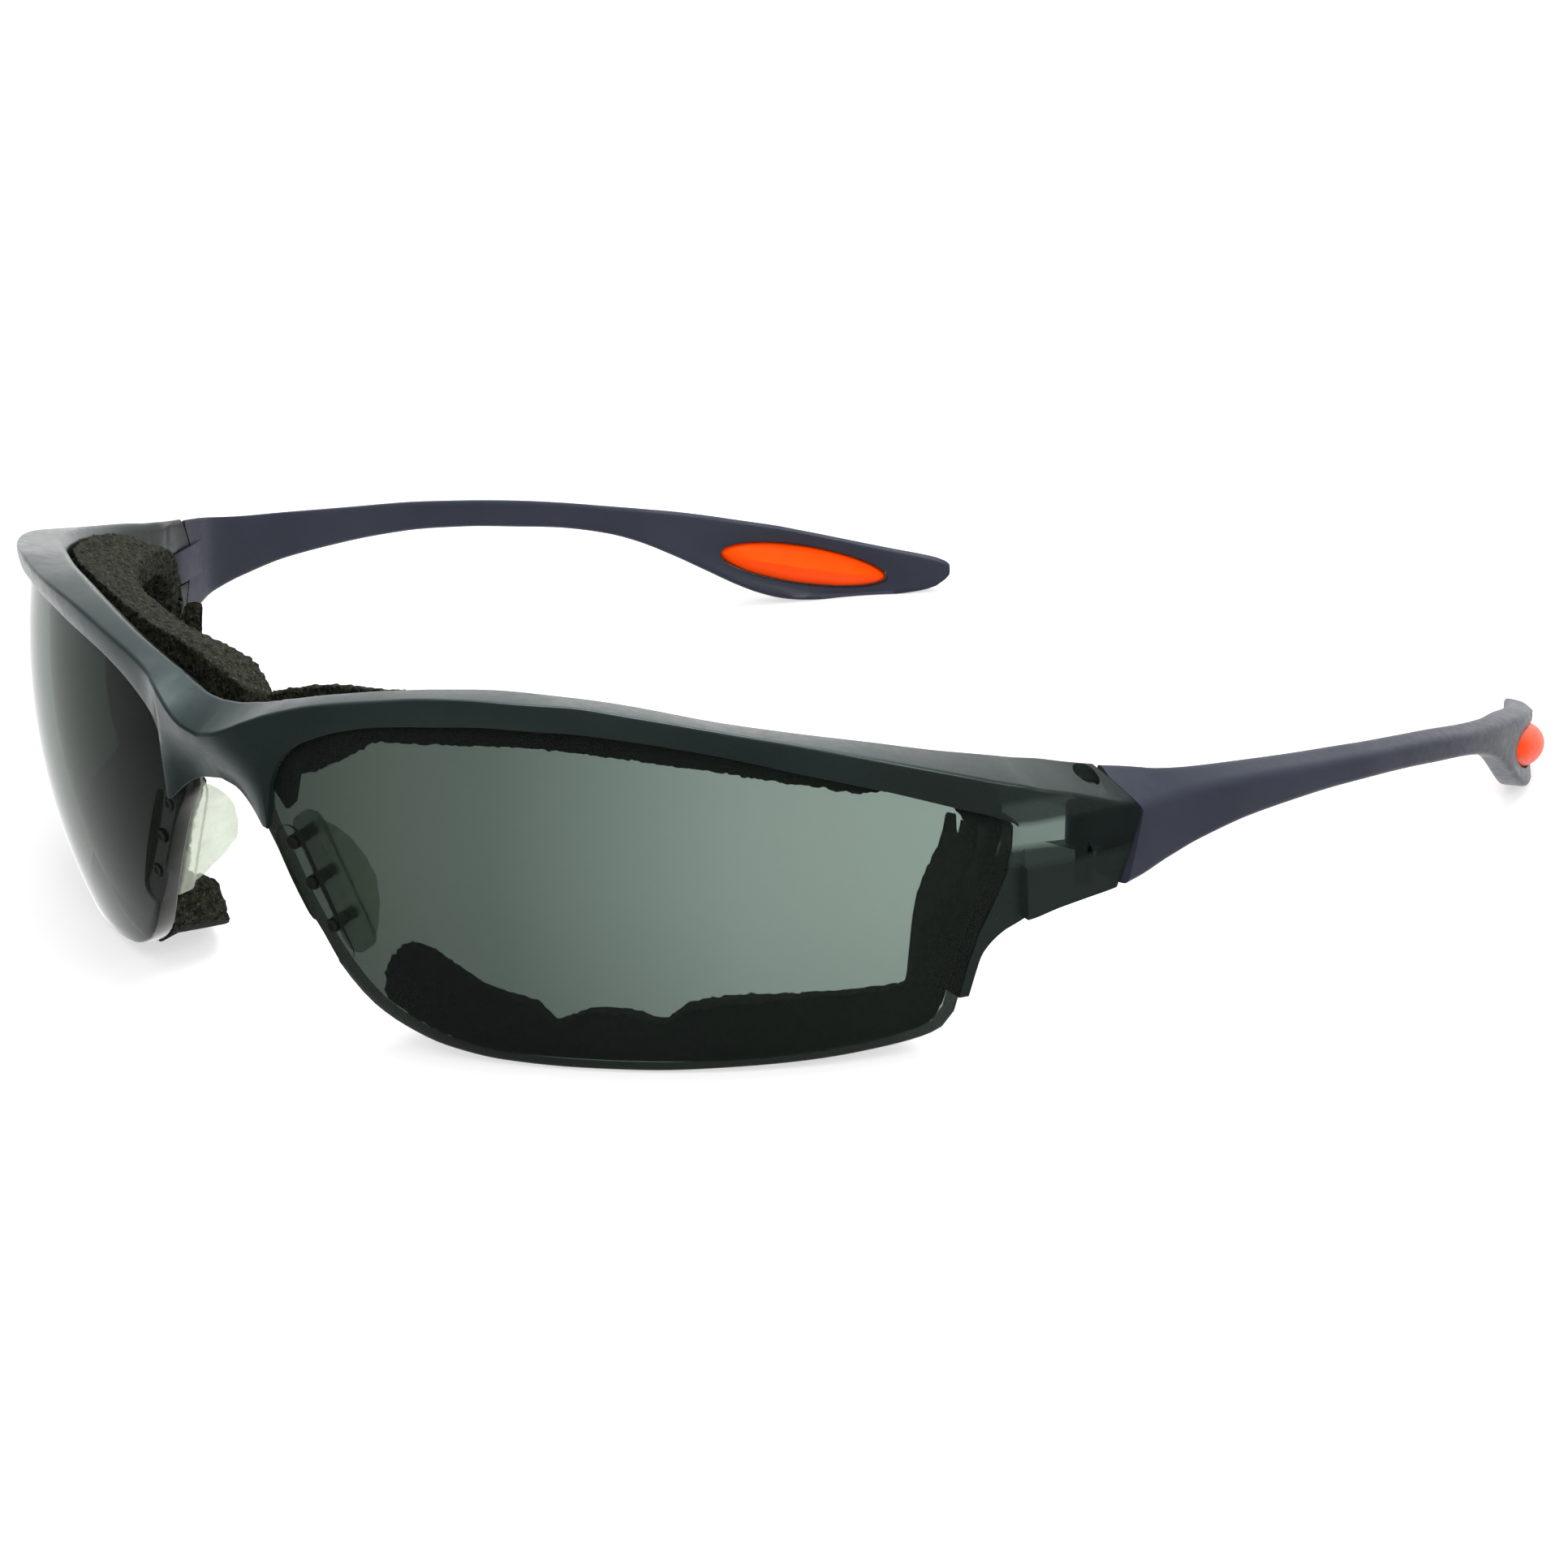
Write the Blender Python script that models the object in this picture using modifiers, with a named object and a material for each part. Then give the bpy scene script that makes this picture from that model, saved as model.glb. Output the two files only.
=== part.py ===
"""Safety glasses: twin smoke lenses under a half-rim brow, foam gaskets and folding temples.

Lengths are millimetres and angles degrees until put() turns them into metres.  X runs to the
wearer's left, Y to the rear from the hinge line, Z up from the table the glasses rest on.
Each eye has its own upright axis EYE_AXIS; "azimuth" is measured about it from straight ahead
towards the temple, so a table of azimuths wraps a shape round the face.
"""
import math

import bmesh
import bpy
from mathutils import Matrix, Vector

MM = 0.001
HINGE_TO_MIDDLE = 25.1      # the origin is this far behind the hinge line

# lens: a spherical shell
EYE_AXIS = (2.3, 7.7)
LENS_LEVEL = 27.3           # height of the sphere's centre
LENS_RADIUS = 66.5
LENS_THICKNESS = 2.2
LENS_FIT = 0.3              # clearance round a lens in its groove
LENS_ROWS = 10

# hinge
PIN_X, PIN_Y = 66.8, -2.4
PIN_RADIUS = 0.7
PIN_HEAD_RADIUS = 1.15
PIN_HOLE_RADIUS = 0.95
PIN_Z = (17.2, 27.5)
HEAD_HEIGHT = 0.9
SLOT_Z = (21.2, 25.7)       # slot between the ears of the endpiece
TONGUE_Z = (21.5, 25.4)
EYE_RADIUS = 2.0            # round end of the temple's tongue
KNUCKLE_RELIEF = 3.0        # temple material keeps this far from the pin outside the slot
SLOT_REACH = 2.4            # from the pin to the slot's front and outer walls
END_GAP = 0.35              # between endpiece and temple
CHEVRON = ((-0.6, 33.0), (-0.45, 29.0), (1.8, 24.4), (-0.5, 16.4), (-0.5, 11.0))

# nose pad and its studs
STUDS = ((5.8, 22.0), (7.5, 17.9), (9.2, 13.5))     # azimuth and height on the lens
STUD_RADIUS = 0.6
STUD_HOLE_RADIUS = 0.8
STUD_OUTER = 65.4           # distance of the stud's faces from the lens centre
STUD_INNER = 62.4
PAD_FRONT = 63.55
PAD_THICKNESS = 1.7
PAD_PLATE_HALF = (7.8, 1.6)     # half length and half width of the oval plate
PAD_PLATE_SHIFT = -0.8          # middle of the plate below the middle stud
PAD_RECESS = 65.75              # floor of the oval recess in the lens
PAD_WING = (                    # depth behind the plate's front, lower end, upper end, drift to the nose
    (0.8, -8.7, 7.2, 0.0), (2.5, -8.2, 5.8, -0.1), (4.2, -7.1, 4.3, -0.3),
    (5.6, -5.6, 2.6, -0.5), (6.4, -4.4, 0.8, -0.7), (6.9, -3.3, -1.2, -0.8),
)

# lens edge, as (azimuth, lowest height, highest height)
LENS_EDGE = (
    (2.6, 24.6, 30.0), (3.1, 23.5, 32.2), (4.3, 21.2, 34.0), (5.5, 18.2, 34.7), (6.9, 14.9, 35.1),
    (8.8, 11.0, 35.7), (10.6, 7.8, 36.5), (12.6, 5.2, 37.1), (15.5, 3.1, 37.6), (19.5, 1.4, 38.3),
    (25.1, 0.5, 38.7), (32.1, 0.3, 38.85), (39.1, 0.3, 38.3), (47.1, 0.6, 36.6), (55.1, 1.0, 34.0),
    (61.1, 1.6, 31.9), (65.6, 2.3, 29.8), (67.6, 3.1, 28.7), (68.5, 4.8, 28.2), (69.0, 11.0, 27.9),
    (69.6, 14.2, 27.5), (70.8, 17.5, 26.9), (71.8, 20.5, 26.1), (72.3, 22.8, 25.3),
)

# brow bar and endpiece, as azimuth, then (distance from the eye axis, height) of the ridge,
# the rear edge of the top face, the inner lower edge and the front lower edge
BROW = (
    (-2.0, 70.3, 32.7, 66.2, 35.6, 64.4, 29.0, 66.6, 27.1),
    (0.0, 70.3, 33.3, 65.9, 35.7, 64.2, 28.4, 66.8, 26.8),
    (1.5, 70.0, 34.1, 65.5, 36.0, 63.8, 27.4, 67.1, 26.0),
    (2.7, 69.6, 34.9, 65.2, 36.2, 63.2, 26.1, 67.3, 24.8),
    (3.6, 69.2, 35.4, 65.0, 36.5, 62.8, 25.1, 67.5, 23.7),
    (4.1, 69.0, 35.7, 65.0, 36.6, 62.7, 25.3, 67.5, 23.5),
    (4.5, 68.8, 35.9, 64.9, 36.8, 62.4, 28.7, 67.5, 28.4),
    (5.2, 68.5, 36.2, 64.9, 37.0, 62.3, 30.7, 67.5, 30.4),
    (6.2, 68.0, 36.6, 64.9, 37.3, 62.2, 32.3, 67.4, 32.0),
    (8.0, 67.6, 37.3, 64.9, 37.9, 62.2, 33.8, 67.35, 33.5),
    (11.0, 67.35, 38.2, 64.8, 38.7, 62.2, 35.4, 67.2, 35.1),
    (15.0, 67.3, 39.2, 64.5, 39.6, 62.2, 36.6, 67.1, 36.4),
    (20.0, 67.6, 40.3, 64.1, 40.4, 62.2, 37.4, 67.0, 37.2),
    (26.0, 68.1, 40.9, 63.8, 40.9, 62.2, 37.9, 67.0, 37.8),
    (32.0, 68.0, 40.9, 63.3, 40.5, 62.2, 37.9, 67.0, 37.8),
    (38.0, 67.7, 40.0, 62.8, 39.6, 62.1, 37.4, 67.05, 37.2),
    (45.0, 67.5, 38.5, 62.8, 38.1, 62.1, 36.0, 67.1, 35.8),
    (52.0, 67.5, 36.8, 62.8, 36.7, 62.1, 33.9, 67.2, 33.7),
    (59.0, 67.7, 34.7, 62.7, 35.2, 62.1, 31.6, 67.3, 31.4),
    (66.0, 67.9, 32.3, 62.6, 33.4, 62.0, 28.9, 67.4, 28.6),
    (70.0, 68.0, 30.8, 62.5, 32.4, 61.9, 27.5, 67.5, 26.9),
    (72.6, 68.2, 29.9, 62.4, 31.7, 61.9, 25.9, 67.5, 25.1),
    (73.3, 68.2, 29.6, 62.4, 31.5, 61.9, 21.5, 67.2, 20.6),
    (74.0, 68.3, 29.3, 62.4, 31.3, 61.9, 15.3, 66.6, 14.9),
    (77.0, 68.4, 28.3, 62.5, 30.6, 62.1, 15.8, 66.8, 15.5),
    (80.0, 68.6, 27.1, 63.3, 29.8, 63.1, 16.3, 67.2, 16.0),
    (83.0, 68.7, 25.8, 64.2, 29.1, 63.9, 16.8, 67.8, 16.5),
    (86.5, 68.8, 24.6, 64.9, 28.4, 64.6, 17.4, 68.2, 17.1),
)

# web running down the temple side of a lens, as (height, first azimuth, last azimuth)
WEB = (
    (6.6, 67.4, 69.7), (9.0, 67.6, 69.9), (11.2, 67.8, 70.2), (12.8, 68.0, 71.1), (13.9, 68.2, 72.4),
    (15.1, 68.6, 75.0), (16.8, 69.2, 76.2), (19.0, 70.1, 76.5), (22.5, 70.8, 76.5), (26.3, 71.0, 76.0),
)
WEB_RADII = (62.3, 66.6)

# foam gasket: azimuth and height of the outer and the inner edge at the lens, of the outer and
# the inner edge at the face, and the distance of the face edges from the lens centre
FOAM = (
    (-0.6, 35.0, 0.3, 28.8, -0.5, 32.4, 0.4, 28.6, 57.0),
    (2.6, 36.4, 2.8, 27.2, 2.7, 33.6, 3.1, 27.8, 55.6),
    (4.6, 37.0, 4.8, 28.0, 4.6, 34.6, 4.9, 28.2, 55.1),
    (6.0, 37.5, 6.3, 28.8, 6.0, 35.0, 6.4, 29.0, 54.8),
    (9.0, 38.1, 8.9, 32.0, 9.0, 35.3, 9.0, 31.2, 54.6),
    (13.0, 38.6, 12.6, 33.3, 13.0, 35.4, 12.8, 31.9, 54.5),
    (20.0, 39.4, 19.4, 34.1, 20.0, 35.5, 19.6, 32.2, 54.5),
    (28.0, 39.8, 27.4, 34.8, 28.0, 35.5, 27.6, 32.4, 54.6),
    (36.0, 39.0, 35.4, 34.3, 36.0, 35.0, 35.6, 32.0, 54.8),
    (44.0, 37.7, 43.4, 33.2, 44.0, 34.0, 43.6, 31.0, 55.0),
    (52.0, 36.1, 51.4, 31.5, 52.2, 32.7, 51.6, 29.7, 55.4),
    (59.0, 34.6, 58.0, 29.9, 60.0, 31.6, 58.8, 28.6, 56.0),
    (65.0, 33.0, 63.4, 29.0, 67.0, 30.8, 65.2, 27.8, 56.8),
    (69.2, 31.4, 66.8, 27.9, 71.6, 29.4, 69.6, 26.8, 57.6),
    (72.6, 29.2, 68.4, 26.4, 74.4, 27.4, 71.8, 25.4, 58.2),
    (74.2, 26.0, 69.3, 24.4, 75.4, 25.0, 72.8, 23.8, 58.5),
    (74.4, 22.4, 69.5, 22.2, 75.6, 22.0, 72.8, 21.8, 58.5),
    (73.6, 18.8, 68.2, 19.8, 75.0, 18.8, 72.2, 19.2, 58.5),
    (72.0, 15.3, 66.4, 17.4, 73.8, 15.6, 70.9, 16.6, 58.5),
    (70.6, 12.0, 64.8, 15.0, 72.4, 12.4, 69.3, 13.8, 58.5),
    (69.5, 8.6, 64.1, 12.0, 71.4, 9.0, 68.2, 10.8, 58.4),
    (68.6, 5.6, 63.8, 9.5, 70.4, 5.8, 67.4, 7.6, 58.2),
    (64.8, 4.0, 61.6, 8.9, 66.6, 3.2, 64.8, 6.6, 57.6),
    (60.5, 3.0, 57.0, 8.8, 61.5, 2.2, 59.8, 6.2, 57.0),
    (55.0, 2.3, 52.0, 8.6, 55.6, 1.6, 54.0, 6.2, 56.4),
    (48.4, 1.9, 47.0, 8.4, 48.4, 1.2, 47.9, 6.1, 56.0),
    (43.0, 1.6, 42.6, 7.8, 43.2, 1.1, 43.2, 5.5, 56.0),
    (40.6, 1.6, 40.8, 6.2, 40.8, 1.1, 40.8, 3.6, 56.0),
    (36.5, 1.6, 37.0, 7.2, 36.5, 1.1, 36.5, 4.7, 56.0),
    (32.6, 1.6, 33.0, 7.2, 32.4, 1.1, 32.3, 4.6, 56.0),
    (29.6, 1.7, 30.2, 5.6, 28.6, 1.2, 28.0, 3.0, 56.0),
    (27.2, 1.8, 28.2, 7.4, 26.4, 1.3, 26.2, 4.9, 56.0),
    (21.5, 2.7, 22.6, 9.6, 20.8, 2.4, 20.4, 5.8, 56.0),
    (17.4, 4.0, 18.2, 12.4, 17.0, 3.8, 16.6, 7.7, 56.2),
    (14.2, 5.6, 15.6, 12.8, 14.4, 5.4, 14.6, 9.5, 56.6),
    (12.2, 7.2, 13.3, 10.7, 13.0, 7.0, 13.6, 9.2, 57.2),
)
FOAM_FRONT = 63.9
FOAM_UNDER_BROW = 61.6      # distance from the eye axis where the foam passes the brow
FOAM_LEAVES_BROW = 28.0     # height below which the foam runs behind the web
WEB_AZIMUTH = 66.0

# temple, as Y, then X of the middle, half thickness, top, bottom and outward fall of the top
TEMPLE = (
    (-1.2, 68.1, 2.6, 29.2, 16.8, 4.2), (3.0, 68.9, 1.95, 28.4, 17.3, 3.6),
    (7.0, 69.55, 1.4, 27.5, 18.1, 2.8), (12.0, 69.8, 1.3, 26.5, 18.8, 2.1),
    (20.0, 70.1, 1.3, 25.2, 19.3, 1.6), (30.0, 70.2, 1.3, 23.6, 19.0, 1.3),
    (40.0, 70.1, 1.25, 22.1, 18.2, 1.2), (50.0, 69.2, 1.2, 20.4, 16.8, 1.1),
    (58.0, 68.0, 1.2, 18.9, 15.3, 1.0), (65.0, 66.7, 1.2, 17.4, 13.9, 1.0),
    (71.5, 65.0, 1.25, 15.9, 12.1, 0.9), (76.0, 63.6, 1.3, 14.9, 10.3, 0.9),
    (80.5, 61.8, 1.4, 13.9, 7.9, 0.8), (84.5, 60.1, 1.5, 12.9, 5.5, 0.8),
    (88.5, 58.4, 1.55, 11.8, 3.1, 0.8), (91.5, 57.0, 1.6, 11.0, 1.6, 0.8),
    (94.0, 55.8, 1.6, 10.3, 0.7, 0.8), (96.5, 54.4, 1.6, 9.5, 0.2, 0.8),
    (99.0, 53.0, 1.6, 8.7, 0.0, 0.8), (103.0, 50.4, 1.5, 7.4, 0.0, 0.8),
    (107.0, 47.4, 1.4, 6.1, 0.0, 0.7), (109.5, 45.4, 1.3, 5.3, 0.25, 0.6),
    (111.1, 43.9, 1.1, 4.7, 0.8, 0.5), (111.9, 43.2, 0.85, 4.2, 1.5, 0.4),
    (112.2, 42.9, 0.7, 3.8, 2.0, 0.3),
)
TEMPLE_EDGE = 0.45          # chamfer along the temple's edges
INSERT_MIDDLE = (96.2, 4.9)         # Y and height
INSERT_HALF = (11.8, 2.9, 2.6)     # along the temple, through it, upwards
INSERT_FALL = 0.22                  # slope of the insert along the temple
INSERT_FIT = 0.3


# ---------------------------------------------------------------- numbers
def curve(table, t):
    """Values of a table at t, joined smoothly without overshoot."""
    k = max(i for i in range(len(table) - 1) if i == 0 or table[i][0] <= t)
    a, b = table[k], table[k + 1]
    span = b[0] - a[0]
    u = min(max((t - a[0]) / span, 0.0), 1.0)
    values = []
    for c in range(1, len(a)):
        start, end = tangent(table, k, c) * span, tangent(table, k + 1, c) * span
        bend = (2 * u ** 3 - 3 * u ** 2 + 1) * a[c] + (3 * u ** 2 - 2 * u ** 3) * b[c]
        values.append(bend + (u ** 3 - 2 * u ** 2 + u) * start + (u ** 3 - u ** 2) * end)
    return values


def tangent(table, k, c):
    """Slope of column c at row k: flat at a turn, else the harmonic mean of both sides."""
    sides = [(table[i + 1][c] - table[i][c]) / (table[i + 1][0] - table[i][0])
             for i in (k - 1, k) if 0 <= i < len(table) - 1]
    if len(sides) == 1:
        return sides[0]
    if sides[0] * sides[1] <= 0:
        return 0.0
    return 2 * sides[0] * sides[1] / (sides[0] + sides[1])


def stations(table, step):
    """The table's own parameters with even ones between, at most a step apart."""
    found = []
    for a, b in zip(table, table[1:]):
        n = max(1, math.ceil((b[0] - a[0]) / step))
        found += [a[0] + (b[0] - a[0]) * i / n for i in range(n)]
    return found + [table[-1][0]]


def around(azimuth, distance, z):
    """Point at a distance from the eye axis."""
    a = math.radians(azimuth)
    return (EYE_AXIS[0] + distance * math.sin(a), EYE_AXIS[1] - distance * math.cos(a), z)


def on_sphere(azimuth, radius, z):
    """Point at a distance from the lens centre."""
    return around(azimuth, math.sqrt(radius ** 2 - (z - LENS_LEVEL) ** 2), z)


def between(a, b):
    return tuple((Vector(a) + Vector(b)) / 2)


def rounded(before, corner, after, reach):
    """Three points that round a corner."""
    k, a, b = Vector(corner), Vector(before), Vector(after)
    to_a = (a - k).normalized() * reach
    to_b = (b - k).normalized() * reach
    return [tuple(k + to_a), tuple(k + (to_a + to_b) * 0.29), tuple(k + to_b)]


# ---------------------------------------------------------------- objects
def start():
    for old in list(bpy.data.objects):
        bpy.data.objects.remove(old, do_unlink=True)
    for name in ("safety_glasses", "cutters"):
        bpy.context.scene.collection.children.link(bpy.data.collections.new(name))
    origin = bpy.data.objects.new("glasses_origin", None)
    origin.location = Vector((0, -HINGE_TO_MIDDLE, 0)) * MM
    bpy.data.collections["safety_glasses"].objects.link(origin)


def material(name, colour, roughness, metallic=0.0):
    found = bpy.data.materials.get(name)
    if found:
        return found
    made = bpy.data.materials.new(name)
    made.use_nodes = True
    shader = made.node_tree.nodes["Principled BSDF"]
    shader.inputs["Base Color"].default_value = (*colour, 1.0)
    shader.inputs["Roughness"].default_value = roughness
    shader.inputs["Metallic"].default_value = metallic
    return made


def put(name, points, faces, side=1, pivot=(0, 0, 0), finish=None):
    """Object from points in millimetres, mirrored when side is -1; no finish makes a cutter."""
    pivot = Vector(pivot)
    mesh = bpy.data.meshes.new(name)
    mesh.from_pydata([(Vector(p) - pivot) * MM for p in points], [], faces)
    if side < 0:
        mesh.transform(Matrix.Diagonal((-1, 1, 1, 1)))
    obj = bpy.data.objects.new(name, mesh)
    obj.location = Vector((pivot.x * side, pivot.y, pivot.z)) * MM
    obj.parent = bpy.data.objects["glasses_origin"]
    if finish:
        mesh.materials.append(finish)
        bpy.data.collections["safety_glasses"].objects.link(obj)
    else:
        bpy.data.collections["cutters"].objects.link(obj)
        obj.hide_render = True
        obj.display_type = "WIRE"
    face_outwards(mesh)
    return obj


def face_outwards(mesh):
    bm = bmesh.new()
    bm.from_mesh(mesh)
    bmesh.ops.recalc_face_normals(bm, faces=bm.faces)
    bm.to_mesh(mesh)
    bm.free()


def loft(rings, first_cap=True, last_cap=True):
    """Points and faces of a skin over equal rings."""
    n = len(rings[0])
    points = [p for ring in rings for p in ring]
    faces = [(r * n + i, r * n + (i + 1) % n, (r + 1) * n + (i + 1) % n, (r + 1) * n + i)
             for r in range(len(rings) - 1) for i in range(n)]
    if first_cap:
        faces.append(tuple(range(n)))
    if last_cap:
        faces.append(tuple((len(rings) - 1) * n + i for i in range(n)))
    return points, faces


def prism(outline, low, high, axis):
    """A flat outline of (a, b) points run from low to high along an axis."""
    order = {"X": lambda a, b, t: (t, a, b), "Z": lambda a, b, t: (a, b, t)}[axis]
    return loft([[order(a, b, t) for a, b in outline] for t in (low, high)])


def rod(start_point, end_point, radius, count=24):
    """A round bar between two points."""
    a, b = Vector(start_point), Vector(end_point)
    turn = (b - a).to_track_quat("Z", "Y")
    spokes = [turn @ Vector((math.cos(i * math.tau / count), math.sin(i * math.tau / count), 0))
              for i in range(count)]
    return loft([[tuple(end + s * radius) for s in spokes] for end in (a, b)])


def turned(profile, x, y, count=24):
    """A solid turned about an upright line from (radius, height) points."""
    rings = [[(x + r * math.cos(i * math.tau / count), y + r * math.sin(i * math.tau / count), z)
              for i in range(count)] for r, z in profile]
    return loft(rings)


def boolean(obj, operation, *others):
    """Join or cut an object with others in one exact step."""
    name = f"{obj.name} {operation.lower()} {len(obj.modifiers)}"
    group = bpy.data.collections.new(name)
    bpy.data.collections["cutters"].children.link(group)
    for other in others:
        bpy.data.collections["cutters"].objects.unlink(other)
        group.objects.link(other)
    step = obj.modifiers.new(name, "BOOLEAN")
    step.operation = operation
    step.solver = "EXACT"
    step.operand_type = "COLLECTION"
    step.collection = group


def soften(obj, width, segments=1, angle=40):
    step = obj.modifiers.new("edges", "BEVEL")
    step.width = width * MM
    step.segments = segments
    step.limit_method = "ANGLE"
    step.angle_limit = math.radians(angle)


# ---------------------------------------------------------------- front
def brow_section(azimuth):
    ridge_r, ridge_z, rear_r, rear_z, inner_r, inner_z, low_r, low_z = curve(BROW, azimuth)
    ridge, rear, low = (ridge_r, ridge_z), (rear_r, rear_z), (low_r, low_z)
    bulge = ((ridge_r + low_r) / 2 + 0.12, (ridge_z + low_z) / 2)
    shoulder = (inner_r, rear_z - (rear_r - inner_r) * 0.7 - 0.4)
    loop = [low, bulge, *rounded(bulge, ridge, rear, 0.5), *rounded(ridge, rear, shoulder, 0.35),
            shoulder, (inner_r, inner_z)]
    ring = [around(azimuth, r, z) for r, z in loop]
    if azimuth == BROW[0][0]:
        ring = [(0.0, y, z) for x, y, z in ring]
    return ring


def lens_skin(radius, edge_rows, grow=0.0):
    """Grid over the lens outline at one radius, grown outwards past its edge."""
    ring = []
    for row in edge_rows:
        azimuth, low, high = row
        ring.append([on_sphere(azimuth, radius, low - grow + (high - low + 2 * grow) * i / LENS_ROWS)
                     for i in range(LENS_ROWS + 1)])
    return ring


def lens_rows():
    return [(a, *curve(LENS_EDGE, a)) for a in stations(LENS_EDGE, 3.0)]


def shell(front, back):
    """Closed skin between two grids of the same size."""
    rows, cols = len(front), len(front[0])
    points = [p for grid in (front, back) for row in grid for p in row]

    def at(layer, r, c):
        return layer * rows * cols + r * cols + c

    faces = [tuple(at(layer, r + i, c + j) for i, j in ((0, 0), (1, 0), (1, 1), (0, 1)))
             for layer in (0, 1) for r in range(rows - 1) for c in range(cols - 1)]
    rim = ([(r, 0) for r in range(rows)] + [(rows - 1, c) for c in range(1, cols)]
           + [(r, cols - 1) for r in range(rows - 2, -1, -1)]
           + [(0, c) for c in range(cols - 2, 0, -1)])
    for (r, c), (s, d) in zip(rim, rim[1:] + rim[:1]):
        faces.append((at(0, r, c), at(0, s, d), at(1, s, d), at(1, r, c)))
    return points, faces


def lens_groove(side):
    """The space a lens takes in the frame, clearance included."""
    rows = lens_rows()
    slack = math.degrees(LENS_FIT / LENS_RADIUS)
    rows = [(rows[0][0] - slack, *rows[0][1:])] + rows + [(rows[-1][0] + slack, *rows[-1][1:])]
    front = lens_skin(LENS_RADIUS + LENS_FIT, rows, LENS_FIT)
    back = lens_skin(LENS_RADIUS - LENS_THICKNESS - LENS_FIT, rows, LENS_FIT)
    return put(f"lens_groove_{side}", *shell(front, back), side=side)


def lens_web(side):
    """Strip of the frame that runs down the temple side of a lens."""
    rings = []
    for z, first, last in WEB:
        inner, outer = WEB_RADII
        rings.append([on_sphere(first, inner, z), on_sphere(last, inner, z),
                      on_sphere(last, outer, z), on_sphere(first, outer, z)])
    return put(f"web_{side}", *loft(rings), side=side)


def hinge_cutters(side):
    """Chevron end, slot for the tongue, pin hole and the head's recess."""
    rear = [(y, z) for y, z in CHEVRON] + [(9.0, 12.0), (9.0, 33.0)]
    chevron = put(f"chevron_{side}", *prism(rear, 60.0, 75.0, "X"), side=side)
    wide, deep = PIN_X + SLOT_REACH, PIN_Y - SLOT_REACH
    box = [(55.0, deep), (wide, deep), (wide, 9.0), (55.0, 9.0)]
    slot = put(f"slot_{side}", *prism(box, *SLOT_Z, "Z"), side=side)
    hole = put(f"pin_hole_{side}", *rod((PIN_X, PIN_Y, 10), (PIN_X, PIN_Y, 40), PIN_HOLE_RADIUS),
               side=side)
    seat = (PIN_X, PIN_Y, PIN_Z[1] - HEAD_HEIGHT - 0.25)
    recess = put(f"head_recess_{side}", *rod(seat, (PIN_X, PIN_Y, 40), PIN_HEAD_RADIUS + 0.25),
                 side=side)
    return [chevron, slot, hole, recess]


def front_frame():
    smoke = material("smoke_frame", (0.020, 0.024, 0.026), 0.35)
    rings = [brow_section(a) for a in stations(BROW, 2.5)]
    frame = put("front_frame", *loft(rings, first_cap=False), finish=smoke)
    halves = frame.modifiers.new("halves", "MIRROR")
    halves.merge_threshold = 0.00005
    boolean(frame, "UNION", lens_web(1), lens_web(-1))
    cutters = [cutter for side in (1, -1) for cutter in (lens_groove(side), *hinge_cutters(side))]
    boolean(frame, "DIFFERENCE", *cutters)


def lens(name, side):
    tint = material("smoke_lens", (0.13, 0.15, 0.14), 0.05)
    rows = lens_rows()
    front = lens_skin(LENS_RADIUS, rows)
    back = lens_skin(LENS_RADIUS - LENS_THICKNESS, rows)
    body = put(name, *shell(front, back), side=side, finish=tint)
    holes = [put(f"stud_hole_{n}_{side}", *rod(*stud_line(azimuth, z, 60.0, 70.0), STUD_HOLE_RADIUS, 16),
                 side=side) for n, (azimuth, z) in enumerate(STUDS)]
    recess = put(f"pad_recess_{side}", *loft(pad_oval(PAD_RECESS, 70.0)), side=side)
    boolean(body, "DIFFERENCE", recess)
    boolean(body, "DIFFERENCE", *holes)


def stud_line(azimuth, z, near, far):
    """Two points on a line through the lens, square to it at the middle stud."""
    centre = Vector((*EYE_AXIS, LENS_LEVEL))
    square = (Vector(on_sphere(*STUDS[1][:1], LENS_RADIUS, STUDS[1][1])) - centre).normalized()
    surface = Vector(on_sphere(azimuth, LENS_RADIUS, z))
    return [surface + square * (distance - LENS_RADIUS) for distance in (near, far)]


# ---------------------------------------------------------------- nose pads
def pad_axes():
    """Middle of a pad's plate, its long direction, the square of the lens and the third."""
    centre = Vector((*EYE_AXIS, LENS_LEVEL))
    top, middle, bottom = (Vector(on_sphere(a, PAD_FRONT, z)) for a, z in STUDS)
    square = (middle - centre).normalized()
    along = (top - bottom)
    along = (along - square * along.dot(square)).normalized()
    return middle, along, square, along.cross(square)


def pad_oval(low, high, grow=0.0):
    """Rings of the long oval of a pad's plate, between two distances from the lens centre."""
    middle, along, square, across = pad_axes()
    half, width = (size + grow for size in PAD_PLATE_HALF)
    loop = [(PAD_PLATE_SHIFT + math.copysign(half - width, math.cos(t)) + width * math.cos(t),
             width * math.sin(t)) for t in (math.tau * (i + 0.5) / 24 for i in range(24))]
    return [[tuple(middle + square * (distance - PAD_FRONT) + along * a + across * b) for a, b in loop]
            for distance in (low, high)]


def pad_wing(side):
    """Curved flap that lies on the nose, from the plate to the rear."""
    middle, along, square, across = pad_axes()
    rings = []
    for depth, low, high, drift in PAD_WING:
        thick = 0.95 - 0.06 * depth
        spine = [low + (high - low) * i / 8 for i in range(9)]
        lean = [drift - 0.01 * max(a, 0.0) * depth for a in spine]
        flap = [middle - square * depth + along * a + across * k for a, k in zip(spine, lean)]
        rings.append([tuple(p + across * thick) for p in flap]
                     + [tuple(p - across * thick) for p in reversed(flap)])
    return put(f"wing_{side}", *loft(rings), side=side)


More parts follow.
